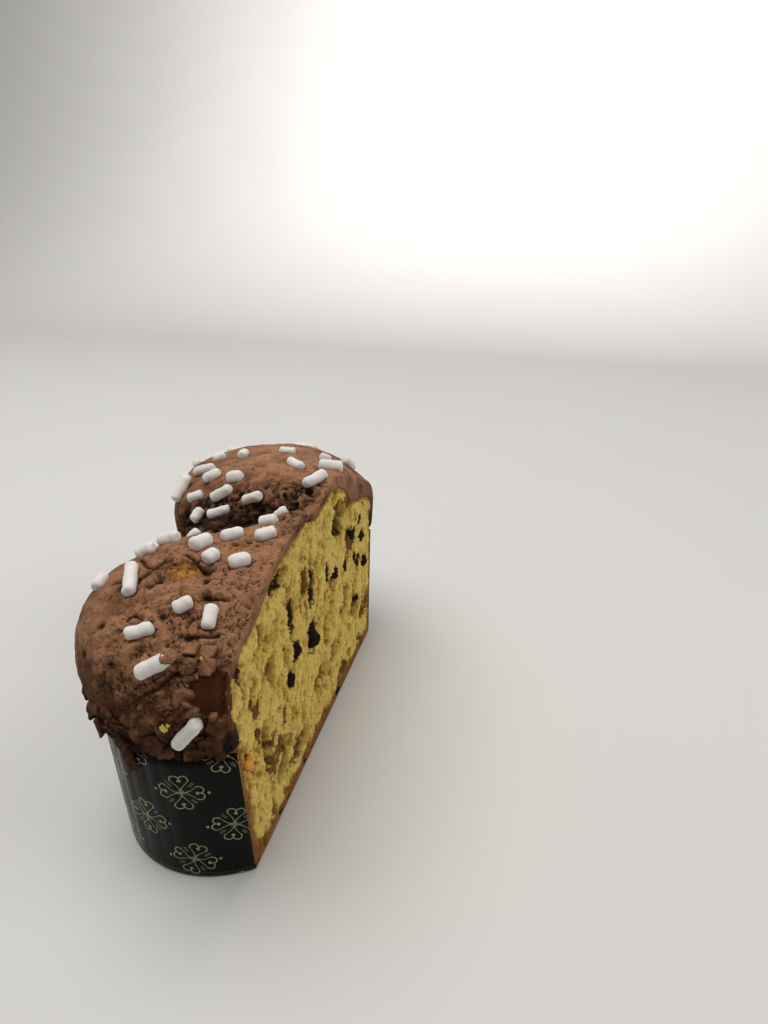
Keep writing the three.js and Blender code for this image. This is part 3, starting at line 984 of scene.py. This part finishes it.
def glaze_finish(settings):
    """Dry cocoa glaze, cracked, with its crust bare or golden in places, painted light in its tone and
    painted shade in its cracks, pits and hollows.
    """
    finish = Finish("baked_cocoa_glaze", 0.8, 0.15)
    patchy = finish.noise(12, 5, 0.65, 0.4)
    speckle = finish.noise(0.8, 5, 0.75)
    # Painted light: the tone attribute mixes light and dark glaze by height and lift.
    share = finish.attribute("tone") * 0.95 + patchy * 0.7 + speckle * 0.9 - 0.87
    base = finish.mixed(share, settings.dark, settings.light)
    # Painted shade: thin crack lines take the crack colour.
    wide = abs(finish.noise(8, 4, 0.6, 0.5) - 0.5).below(0.004, 0.004)
    wide = wide * finish.noise(13, 2).above(0.52, 0.05)
    narrow = abs(finish.noise(3.1, 4, 0.65, 0.8) - 0.5).below(0.008, 0.008)
    narrow = narrow * finish.noise(7, 2).above(0.56, 0.05)
    broken = wide.most(narrow)
    base = finish.mixed(broken * 0.8, base, settings.deep)
    bare = finish.mixed(speckle, settings.bare, dimmed(settings.bare, 0.6))
    base = finish.mixed(finish.attribute("bare"), base, bare)
    rim = finish.mixed(speckle, dimmed(settings.golden, 0.4), dimmed(settings.golden, 0.75))
    base = finish.mixed(finish.attribute("golden"), base, rim)
    pale = finish.attribute("sunk") * finish.noise(2.2, 4).above(0.5, 0.08)
    base = finish.mixed(pale, base, settings.golden)
    finish.colour(finish.mixed(finish.attribute("deep"), base, settings.deep))
    grain = finish.noise(0.5, 6, 0.75) * 0.6 + finish.cells(1.2) * 0.3 + finish.noise(2.0, 5, 0.65) * 0.9
    finish.bump(grain - broken * 0.7, 1.1)
    return finish.material


def outer_mask(points):
    """1 on the outer skin of the glaze and 0 where it lies on the crumb and the paper."""
    tree = surface_tree("crumb", "paper_case")
    gaps = np.array([tree.find_nearest(Vector(point) * MM)[3] for point in points.tolist()]) / MM
    return smooth(0.5, 1.5, gaps)


class COLOMBA_OT_glaze(bpy.types.Operator):
    """Make the baked glaze with its cracks, pits and bare patches"""

    bl_idname = "colomba.glaze"
    bl_label = "Glaze"

    def execute(self, context):
        settings = context.scene.colomba_glaze
        piece = make_object("glaze_shell", merged_copy("glaze"))
        remesh(piece, settings.grid)
        soften(piece.data)
        self.refine(piece.data)
        self.weather(piece.data)
        thin(piece)
        piece.data.materials.append(glaze_finish(settings))
        finish_piece(piece, "glaze", "glaze")
        return {"FINISHED"}

    @staticmethod
    def refine(mesh):
        """Halves the grid outside on the near lobe, in the fold and on the far lobe's foot beside it."""
        points = coordinates(mesh)
        skin = outer_mask(points) > 0.5
        wanted = skin & ((points[:, 1] < -28) | (near_path(points, (*VALLEY, *FAR_FLANK), 8) > 0.15))
        bm = bmesh.new()
        bm.from_mesh(mesh)
        bm.verts.ensure_lookup_table()
        halve_grid(bm, list({edge for vert in bm.verts if wanted[vert.index] for edge in vert.link_edges}))
        bm.to_mesh(mesh)
        bm.free()

    def weather(self, mesh):
        """Gives the glaze its relief and damage, and paints them."""
        points = coordinates(mesh)
        outside = outer_mask(points)
        warp = clouds(points, 9, 2, 21, 22, 23)
        lift, deep = self.relief(points, warp)
        dents, shadow = self.damage(points, warp)
        lift += dents
        deep = np.maximum(deep, shadow)
        bare = near_any(points + warp, BARE)
        bare = smooth(0.36, 0.42, bare + 0.12 * cloud(points, 2.5, 4, seed=37) * smooth(0.1, 0.3, bare))
        lift = lift * (1 - 0.8 * bare) - 0.8 * bare
        golden = near_any(points + 1.2 * warp, GOLDEN)
        golden = golden + 0.22 * cloud(points, 3, 3, seed=28) * smooth(0.05, 0.3, golden)
        torn = smooth(0.3, 0.42, golden)
        lift += 0.5 * smooth(0.1, 0.3, golden) - 1.6 * torn
        flank, bumps, shadow = self.fold(points, warp)
        lift += flank * bumps
        deep = np.maximum(deep, shadow)
        # Painted shade: the glaze low down by the rim, under the flakes, is painted nearly the crack colour.
        rim_shade = smooth(69, 62, points[:, 2] + 4 * cloud(points, 5, 3, seed=30))
        deep = np.maximum(deep * (1 - 0.6 * bare), 0.95 * rim_shade)
        skin = outside * smooth(0.02, 0.9, CUT_X - points[:, 0])
        moved = points + directions(mesh) * (lift * skin)[:, None]
        self.chip(moved, outside)
        move_to(mesh, moved)
        # Painted light and shade mixed with the glaze's own tone: lighter higher up and towards the cut, a
        # painted highlight near the top of the near lobe, raised lumps lighter and the fold darker, with
        # random patches.
        tone = smooth(60, 100, points[:, 2] + 5 * cloud(points, 18, 2, seed=27))
        tone = tone * (0.7 + 0.3 * smooth(-45, 25, points[:, 0])) + 0.35 * near(points, (32, -50, 101), 20)
        tone = tone + 0.75 * (lift - 0.1) - 0.6 * flank + 0.3 * cloud(points, 6, 3, seed=38)
        paint(mesh, "tone", tone)
        paint(mesh, "deep", deep)
        paint(mesh, "bare", bare)
        paint(mesh, "golden", torn)
        paint(mesh, "sunk", smooth(0.35, 0.75, golden))

    @staticmethod
    def fold(points, warp):
        """How far points are in the fold between the lobes, its bumps in mm and its shadow, 0 to 1."""
        valley = near_path(points + 1.5 * warp, VALLEY, 8.5)
        flank = np.maximum(valley, near_path(points + 1.5 * warp, FAR_FLANK, 8))
        rough = pores(points + 0.8 * warp, 3.4, 0.95, 0.55, seed=12)
        lumps = np.abs(cloud(points, 4.5, 4, seed=29))
        hollow = np.maximum(smooth(0.05, 0.6, rough), smooth(0.25, 0.05, lumps))
        shadow = smooth(0.2, 0.55, flank) * (0.3 + 0.7 * hollow)
        shadow = np.maximum(0.8 * smooth(0.35, 0.9, valley), shadow)
        return flank, 3.0 * (lumps - 0.3) - 2.0 * rough, shadow

    @staticmethod
    def relief(points, warp):
        """Lift in mm of the baked surface, and how deep in a crack or pit it is, 0 to 1, which is painted as
        shade.

        It is roughest on the near lobe towards the cut.
        """
        warped = points + 2.0 * warp
        rugged = smooth(-14, 16, points[:, 0] + 7 * cloud(points, 13, 2, seed=33))
        rugged = rugged * (0.35 + 0.4 * smooth(-30, -45, points[:, 1]))
        rugged = np.maximum(rugged, near_any(points, ROUGH))
        heights, gaps = shingles(points + 2.6 * np.roll(warp, 1, 1), 5.2, seed=1)
        seam = smooth(0.08, 0.0, gaps) * rugged * smooth(0.3, 0.7, heights)
        cracked = smooth(0.0, 0.4, cloud(points, 14, 2, seed=26) + 0.4 * rugged)
        crease = creases(warped, 8, 0.016, 4, seed=51) * cracked
        lumps = np.abs(cloud(warped, 5.5, 5, seed=36))
        groove = smooth(0.06, 0.0, lumps) * smooth(0.1, 0.8, rugged)
        crease = np.max([crease, 0.8 * seam, groove], axis=0)
        pits = pores(points + 0.8 * warp, 2.8, 0.2, 0.22, seed=11)
        pits = np.maximum(pits, 0.9 * pores(points, 1.6, 0.4, 0.38, seed=13) * smooth(0.2, 0.8, rugged))
        lift = 0.55 * cloud(points, 12, 3, seed=24) + 0.25 * cloud(points, 4.5, 4, seed=25)
        lift += (0.15 + 0.85 * rugged) * 1.3 * (lumps - 0.25)
        lift += rugged * (0.5 * cloud(points, 2.6, 4, seed=35) + 0.9 * (heights - 0.5))
        lift -= 0.6 * crease + 0.6 * pits
        shown = 0.3 + 0.6 * smooth(-20, -32, points[:, 1])
        return lift, shown * np.maximum(smooth(0.45, 1.0, crease), smooth(0.5, 1.0, pits))

    @staticmethod
    def damage(points, warp):
        """Lift in mm of the larger holes and splits, and the painted shade in them."""
        lift, deep = np.zeros(len(points)), np.zeros(len(points))
        for centre, radius, depth in HOLES:
            dent = near(points + 0.5 * warp, centre, radius)
            lift -= depth * dent
            deep = np.maximum(deep, 1.8 * dent - 0.7)
        for path in SPLITS:
            split = near_path(points + 0.9 * warp, path, 0.75)
            lift -= 1.3 * split
            deep = np.maximum(deep, 1.6 * split - 0.65)
        return lift, np.clip(deep, 0, 1)

    @staticmethod
    def chip(points, skin):
        """Wears the glaze thin where it has chipped off along the near edge of the cut."""
        worn = smooth(3.4, 0.6, CUT_X - points[:, 0] + 1.6 * cloud(points, 3, 3, seed=32))
        worn = worn * smooth(-58, -72, points[:, 1]) * smooth(97, 88, points[:, 2])
        points[:, 1:] -= (1.9 * worn * skin)[:, None] * outward(points)


# ---------------------------------------------------------------- flakes, drip and dab of glaze
CAKE_MIDDLE = Vector((10, 0, 60))  # mm, inside the cake, where the lines that hit its skin end
FLAKE_SEED = 8
FLAKE_TURNS = (3, 176)  # degrees between which the small flakes lie
FLAKE_HEIGHTS = (55, 69, 59)  # lowest, highest and usual height of the small flakes, mm
FLAKE_RADII = (0.8, 3.6, 1.3)  # least, most and usual radius of the small flakes, mm
FLAKE_THICK = (0.7, 2.1)  # mm
FLAKE_LEAN = (-32, 26)  # degrees
FLAKE_EDGE = 0.18  # mm, width of its bevel
DRIP = ((7.8, -90.9, 53), (0.6, 2.6, -14.5), 1.8, 0.8)  # middle, reach, radius and unevenness, mm
DAB = ((24.7, -88.1, 91.4), (5.4, 2.5, 1.0), 2.6, 0.6)
PLATES = [  # the larger plates: centre and radius, mm
    ((35.6, -86.4, 87.6), 3.4),
    ((37.6, -84.5, 88.2), 2.8),
    ((31.0, -87.2, 88.2), 3.0),
    ((37.2, -77.5, 91.1), 3.0),
    ((33.4, -82.0, 90.2), 3.2),
    ((29.6, -83.4, 90.6), 2.6),
    ((30.5, -90.6, 81.5), 2.8),
    ((18.4, -93, 62.6), 3.6),
    ((22.7, -92.5, 59.7), 2.8),
    ((29.3, -91, 58.9), 2.8),
    ((35.2, -89.9, 63.6), 3.0),
    ((37.5, -89.1, 66.5), 2.4),
    ((6.5, -91.9, 66.9), 2.8),
    ((9.7, -92.6, 65.3), 2.6),
    ((4.7, -91.8, 70.3), 2.2),
    ((31.5, -91, 66), 2.6),
    ((37.4, -89.2, 70.5), 1.8),
    ((36.6, -89.2, 61), 2.4),
    ((37.8, -88.8, 75), 1.4),
    ((33.5, -90.4, 71), 2.2),
    ((37.4, -88, 57.5), 1.8),
]


def hit(tree, spot):
    """Where the line from outside the cake through a spot in mm meets the surface, in m, and its normal."""
    outside = CAKE_MIDDLE + (Vector(spot) - CAKE_MIDDLE) * 1.5
    return tree.ray_cast(outside * MM, Vector(spot) - outside)[:2]


class COLOMBA_OT_flakes(bpy.types.Operator):
    """Make the broken plates of glaze along the rim, a drip on the paper and a dab on a sugar rod"""

    bl_idname = "colomba.flakes"
    bl_label = "Glaze Flakes"

    def execute(self, context):
        settings = context.scene.colomba_glaze
        tree = surface_tree("glaze")
        draw = random.Random(FLAKE_SEED)
        bm = bmesh.new()
        for spot, radius in PLATES:
            found, out = hit(tree, spot)
            if found is not None:
                self.plate(bm, draw, found / MM, out, radius)
        for _ in range(settings.flakes):
            turn, height = draw.uniform(*FLAKE_TURNS), draw.triangular(*FLAKE_HEIGHTS)
            spot, out = self.on_skin(tree, turn, height)
            if spot is not None:
                self.plate(bm, draw, spot / MM, out, draw.triangular(*FLAKE_RADII))
        self.blob(bm, *DRIP)
        self.blob(bm, *DAB)
        bmesh.ops.recalc_face_normals(bm, faces=bm.faces)
        piece = make_object("glaze_flakes", bm, glaze_finish(settings))
        points = coordinates(piece.data)
        # Painted light: higher flakes are lighter, with random tone on top; the dab is lightest.
        tone = smooth(60, 95, points[:, 2]) * 0.7 + 0.8 * cloud(points, 5, 2, seed=31) + 0.1
        paint(piece.data, "tone", np.maximum(tone, 2 * near(points, DAB[0], 4)))
        paint(piece.data, "bare", 0.5 * smooth(76, 64, points[:, 2]) + 0.5 * cloud(points, 5, 1, seed=34))
        # Painted shade on the flakes' downward-facing sides.
        paint(piece.data, "deep", smooth(0.0, -0.5, directions(piece.data)[:, 2]))
        finish_piece(piece, "glaze", "glaze")
        return {"FINISHED"}

    @staticmethod
    def on_skin(tree, turn, height):
        """The outside of the glaze at a turn in degrees and a height in mm, in m, and its normal."""
        outside = Vector(at_turn(np.array([turn]), np.array([140.0]), height)[0].tolist())
        inward = Vector((CUT_X, 0, height)) - outside
        return tree.ray_cast(outside * MM, inward.normalized())[:2]

    @staticmethod
    def plate(bm, draw, spot, out, radius):
        """An irregular flat chip that lies against the skin, its lower side standing off a little."""
        if spot.x > CUT_X - radius - 1:
            return
        sheet = bmesh.new()
        corners = draw.choice((6, 7, 8))
        made = bmesh.ops.create_circle(sheet, cap_ends=True, segments=corners, radius=radius)
        for vert in made["verts"]:
            vert.co *= draw.uniform(0.62, 1.3)
        face = next(iter(sheet.faces))
        top = bmesh.ops.extrude_face_region(sheet, geom=[face])["geom"]
        lifted = of_kind(top, bmesh.types.BMVert)
        bmesh.ops.translate(sheet, verts=lifted, vec=(0, 0, draw.uniform(*FLAKE_THICK)))
        bmesh.ops.recalc_face_normals(sheet, faces=sheet.faces)
        bmesh.ops.bevel(
            sheet, geom=list(sheet.edges), offset=FLAKE_EDGE, segments=1, profile=0.5, affect="EDGES",
            material=-1,
        )
        bmesh.ops.triangulate(sheet, faces=[f for f in sheet.faces if len(f.verts) > 4])
        bmesh.ops.subdivide_edges(sheet, edges=list(sheet.edges), cuts=1)
        bmesh.ops.subdivide_edges(sheet, edges=list(sheet.edges), cuts=1)
        for vert in sheet.verts:
            place = vert.co / 2.2 + spot
            ragged = [soft_noise(place + Vector((shift, 0, 0))) for shift in (0, 31, 57)]
            vert.co += 0.55 * Vector(ragged) + Vector((0, 0, 0.05 * vert.co.x**2 / radius))
        lean = Matrix.Rotation(math.radians(draw.uniform(*FLAKE_LEAN)), 4, "X")
        turn = Matrix.Rotation(draw.uniform(0, math.tau), 4, "Z")
        face_out = out.to_track_quat("Z", "Y").to_matrix().to_4x4()
        place = Matrix.Translation((spot - out * 0.35) * MM) @ face_out @ lean @ turn @ Matrix.Scale(MM, 4)
        sheet.transform(place)
        add_to(bm, sheet)

    @staticmethod
    def blob(bm, middle, reach, radius, uneven):
        """A drop of glaze drawn out along reach, its surface moved by up to about uneven, mm."""
        reach = Vector(reach)
        made = bmesh.ops.create_icosphere(bm, subdivisions=4, radius=radius * MM)["verts"]
        turn = reach.to_track_quat("Z", "Y").to_matrix().to_4x4()
        stretch = Matrix.Diagonal((1, 0.75, reach.length / 2 / radius, 1))
        place = Matrix.Translation(Vector(middle) * MM) @ turn @ stretch
        bmesh.ops.transform(bm, verts=made, matrix=place)
        for vert in made:
            vert.co += vert.normal * uneven * MM * soft_noise(vert.co / (2.2 * MM))


# ---------------------------------------------------------------- crumbs that fell on the glaze
SPECKS = [  # centre and radius, mm
    ((23.7, -93.6, 70), 1.1),
    ((24.9, -93.3, 71.3), 0.6),
    ((33.2, -84.2, 89.6), 0.7),
]


class COLOMBA_OT_specks(bpy.types.Operator):
    """Make the small crumbs that lie on the glaze"""

    bl_idname = "colomba.specks"
    bl_label = "Crumb Specks"

    def execute(self, context):
        tree = surface_tree("glaze")
        bm = bmesh.new()
        for spot, radius in SPECKS:
            found, _ = hit(tree, spot)
            made = bmesh.ops.create_icosphere(bm, subdivisions=4, radius=radius * MM)["verts"]
            for vert in made:
                vert.co *= 1 + 0.5 * soft_noise(vert.co / (0.9 * MM))
            bmesh.ops.translate(bm, verts=made, vec=found)
        piece = make_object("crumb_specks", bm, crumb_finish(context.scene.colomba_crumb))
        finish_piece(piece, "crumb", "crumb")
        return {"FINISHED"}


# ---------------------------------------------------------------- pearl sugar
ROD_SIDES = 20
ROD_RINGS = 11  # along a rod
ROD_SLIMMER = 0.98  # the rod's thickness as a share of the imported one's
ROD_ROUNDING = 0.66  # of its ends, as a share of its radius


def sugar_finish(settings):
    """White, slightly translucent sugar."""
    finish = Finish("pearl_sugar", 0.62, 0.4)
    finish.colour(finish.mixed(finish.noise(1.6, 4), dimmed(settings.white, 0.84), settings.white))
    finish.bump(finish.noise(0.5, 5, 0.7), 0.14, 0.7)
    finish.soft(0.35, 1.2, (1.0, 0.95, 0.9))
    return finish.material


def rod_measures(points):
    """Middle, axis, length and radius of the rod that has these points, mm."""
    points = np.unique(np.round(points, 3), axis=0)
    middle = (points.max(0) + points.min(0)) / 2
    _, _, axes = np.linalg.svd(points - points.mean(0), full_matrices=False)
    axis = axes[0]
    along = (points - middle) @ axis
    middle = middle + axis * (along.max() + along.min()) / 2
    across = np.linalg.norm((points - middle) - np.outer((points - middle) @ axis, axis), axis=1)
    return Vector(middle.tolist()), Vector(axis.tolist()), along.max() - along.min(), across.max()


class COLOMBA_OT_sugar(bpy.types.Operator):
    """Make the rods of pearl sugar"""

    bl_idname = "colomba.sugar"
    bl_label = "Pearl Sugar"

    def execute(self, context):
        nodes = nodes_named("sugar_stick")
        bm = bmesh.new()
        for node in nodes:
            self.rod(bm, coordinates(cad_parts[node].data))
        piece = make_object("sugar_rods", bm, sugar_finish(context.scene.colomba_sugar))
        finish_piece(piece, "sugar", *nodes)
        return {"FINISHED"}

    @staticmethod
    def rod(bm, points):
        """A rounded, slightly dented rod with the middle, axis, length and thickness of the points."""
        middle, axis, length, thick = rod_measures(points)
        radius = ROD_SLIMMER * thick
        rod = bmesh.new()
        bmesh.ops.create_cone(
            rod, cap_ends=True, segments=ROD_SIDES, radius1=radius, radius2=radius, depth=length
        )
        rings = [edge for edge in rod.edges if abs(edge.verts[0].co.z - edge.verts[1].co.z) < 0.01]
        bmesh.ops.bevel(
            rod, geom=rings, offset=radius * ROD_ROUNDING, segments=6, profile=0.5, affect="EDGES",
            material=-1,
        )
        sides = [edge for edge in rod.edges if abs(edge.verts[0].co.z - edge.verts[1].co.z) > length * 0.4]
        bmesh.ops.subdivide_edges(rod, edges=sides, cuts=ROD_RINGS, use_grid_fill=True)
        bmesh.ops.poke(rod, faces=[face for face in rod.faces if len(face.verts) > 4])
        rod.normal_update()
        for vert in rod.verts:
            vert.co += vert.normal * (0.34 * soft_noise(vert.co / 3.2 + middle, 3) - 0.04)
        turn = axis.to_track_quat("Z", "Y").to_matrix().to_4x4()
        rod.transform(Matrix.Translation(middle * MM) @ turn @ Matrix.Scale(MM, 4))
        add_to(bm, rod)


# ---------------------------------------------------------------- chocolate and peel in the crumb
def chocolate_finish():
    """Dull dark chocolate."""
    finish = Finish("dark_chocolate", 0.8, 0.12)
    finish.colour(finish.mixed(finish.noise(1.6, 5), screen(52, 30, 16), screen(12, 8, 6)))
    finish.bump(finish.noise(0.9, 5, 0.7), 0.9)
    return finish.material


def peel_finish():
    """Glossy orange peel."""
    finish = Finish("candied_peel", 0.35, 0.5)
    finish.colour(finish.mixed(finish.noise(2.2, 4), screen(232, 172, 56), screen(196, 122, 34)))
    finish.bump(finish.noise(0.9, 4), 0.25, 0.7)
    finish.soft(0.15, 1.5, (1.0, 0.6, 0.2))
    return finish.material


def melted(name, material, grid, uneven, *nodes):
    """Copies of nodes as one softly uneven piece, its surface moved by up to about uneven, mm."""
    piece = make_object(name, merged_copy(*nodes))
    remesh(piece, grid)
    soften(piece.data)
    points = coordinates(piece.data)
    move_to(piece.data, points + directions(piece.data) * (uneven * cloud(points, 2.4, 3, seed=41))[:, None])
    piece.data.materials.append(material)
    return piece


class COLOMBA_OT_chocolate(bpy.types.Operator):
    """Make the chocolate drops in the crumb"""

    bl_idname = "colomba.chocolate"
    bl_label = "Chocolate Drops"

    def execute(self, context):
        nodes = nodes_named("chocolate_drop")
        finish_piece(melted("chocolate_drops", chocolate_finish(), 0.5, 0.8, *nodes), "chocolate", *nodes)
        return {"FINISHED"}


class COLOMBA_OT_peel(bpy.types.Operator):
    """Make the candied peel in the crumb"""

    bl_idname = "colomba.peel"
    bl_label = "Candied Peel"

    def execute(self, context):
        finish_piece(melted("orange_peel", peel_finish(), 0.35, 1.1, "candied_peel"), "peel", "candied_peel")
        return {"FINISHED"}


# ---------------------------------------------------------------- stage
CAMERA_AT = Vector((125.81, -239.2, 218.62))  # mm
CAMERA_LOOK = Vector((-0.2197, 0.8751, -0.4311))
CAMERA_LENS = 26.0  # mm, on the default 36 mm sensor
LIGHTS = {  # place, target and size of each, m
    "key": ((-0.3, 0.02, 1.1), (0, -0.02, 0.05), 0.9),
    "backdrop": ((0, 0.8, 0.95), (0, 1.8, 0.8), 0.8),
    "left": ((-1.2, 0.25, 0.55), (0, 0, 0.05), 0.8),
    "right": ((1.1, 0.1, 0.9), (0, 0, 0.05), 0.9),
}
FLOOR_HALF = 3.5  # m, half the width of floor and backdrop
FLOOR_FRONT = -3.0  # m, where it starts
BEND_FROM = 0.65  # m behind the origin, where the floor begins to turn up
BEND_RADIUS = 1.1  # m
BACKDROP_TOP = 3.0  # m


class COLOMBA_OT_stage(bpy.types.Operator):
    """Make the floor, the soft light and the camera"""

    bl_idname = "colomba.stage"
    bl_label = "Stage"

    def execute(self, context):
        settings = context.scene.colomba_stage
        self.floor(settings.floor)
        for name, (place, target, size) in LIGHTS.items():
            self.light(name, place, target, size, getattr(settings, name))
        world = bpy.data.worlds.new("surroundings")
        world.use_nodes = True
        sky = world.node_tree.nodes["Background"]
        sky.inputs["Color"].default_value = (1.0, 0.985, 0.96, 1)
        sky.inputs["Strength"].default_value = settings.fill
        context.scene.world = world
        context.scene.view_settings.view_transform = "Standard"
        data = bpy.data.cameras.new("camera")
        data.lens = CAMERA_LENS
        data.clip_start = 0.01
        camera = bpy.data.objects.new("camera", data)
        camera.location = CAMERA_AT * MM
        camera.rotation_euler = CAMERA_LOOK.to_track_quat("-Z", "Y").to_euler()
        context.scene.collection.objects.link(camera)
        context.scene.camera = camera
        return {"FINISHED"}

    @staticmethod
    def floor(colour):
        """A floor that turns up softly into a backdrop behind the cake."""
        bm = bmesh.new()
        profile = [(FLOOR_FRONT, 0.0), (BEND_FROM, 0.0)]
        for i in range(1, 25):
            angle = math.pi / 2 * i / 24
            behind = BEND_FROM + BEND_RADIUS * math.sin(angle)
            profile.append((behind, BEND_RADIUS * (1 - math.cos(angle))))
        profile.append((BEND_FROM + BEND_RADIUS, BACKDROP_TOP))
        line = [bm.verts.new((-FLOOR_HALF, y, z)) for y, z in profile]
        edges = [bm.edges.new(pair) for pair in zip(line, line[1:])]
        swept = bmesh.ops.extrude_edge_only(bm, edges=edges)["geom"]
        bmesh.ops.translate(bm, verts=of_kind(swept, bmesh.types.BMVert), vec=(2 * FLOOR_HALF, 0, 0))
        bmesh.ops.recalc_face_normals(bm, faces=bm.faces)
        if next(iter(bm.faces)).normal.z < 0:
            bmesh.ops.reverse_faces(bm, faces=bm.faces)
        finish = Finish("pale_floor", 0.7, 0.3)
        finish.colour(finish.mixed(finish.noise(300, 2), colour, dimmed(colour, 0.94)))
        piece = make_object("floor", bm, finish.material)
        piece.data.shade_smooth()

    @staticmethod
    def light(name, place, target, size, power):
        data = bpy.data.lights.new(name, "AREA")
        data.size = size
        data.energy = power
        lamp = bpy.data.objects.new(name, data)
        lamp.location = place
        lamp.rotation_euler = (Vector(target) - Vector(place)).to_track_quat("-Z", "Y").to_euler()
        bpy.context.scene.collection.objects.link(lamp)


# ---------------------------------------------------------------- panel and registration
MAKERS = (
    COLOMBA_OT_paper_case,
    COLOMBA_OT_crumb,
    COLOMBA_OT_glaze,
    COLOMBA_OT_flakes,
    COLOMBA_OT_specks,
    COLOMBA_OT_sugar,
    COLOMBA_OT_chocolate,
    COLOMBA_OT_peel,
    COLOMBA_OT_stage,
)
SETTINGS = {
    "colomba_crumb": CrumbSettings,
    "colomba_glaze": GlazeSettings,
    "colomba_sugar": SugarSettings,
    "colomba_case": CaseSettings,
    "colomba_stage": StageSettings,
}


class COLOMBA_PT_panel(bpy.types.Panel):
    """The makers of the cake's pieces and their settings"""

    bl_idname = "COLOMBA_PT_panel"
    bl_label = "Dove Cake"
    bl_space_type = "VIEW_3D"
    bl_region_type = "UI"
    bl_category = "Dove Cake"

    def draw(self, context):
        for name, group in SETTINGS.items():
            box = self.layout.box()
            for setting in group.__annotations__:
                box.prop(getattr(context.scene, name), setting)
        for maker in MAKERS:
            self.layout.operator(maker.bl_idname)


def register():
    for group in SETTINGS.values():
        bpy.utils.register_class(group)
    for name, group in SETTINGS.items():
        setattr(bpy.types.Scene, name, PointerProperty(type=group))
    for maker in MAKERS:
        bpy.utils.register_class(maker)
    bpy.utils.register_class(COLOMBA_PT_panel)


def unregister():
    bpy.utils.unregister_class(COLOMBA_PT_panel)
    for maker in reversed(MAKERS):
        bpy.utils.unregister_class(maker)
    for name, group in SETTINGS.items():
        delattr(bpy.types.Scene, name)
        bpy.utils.unregister_class(group)


def main():
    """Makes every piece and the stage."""
    register()
    for maker in MAKERS:
        group, name = maker.bl_idname.split(".")
        result = getattr(getattr(bpy.ops, group), name)()
        if result != {"FINISHED"}:
            raise RuntimeError(f"{maker.bl_label} was not made")


if __name__ == "__main__":
    main()
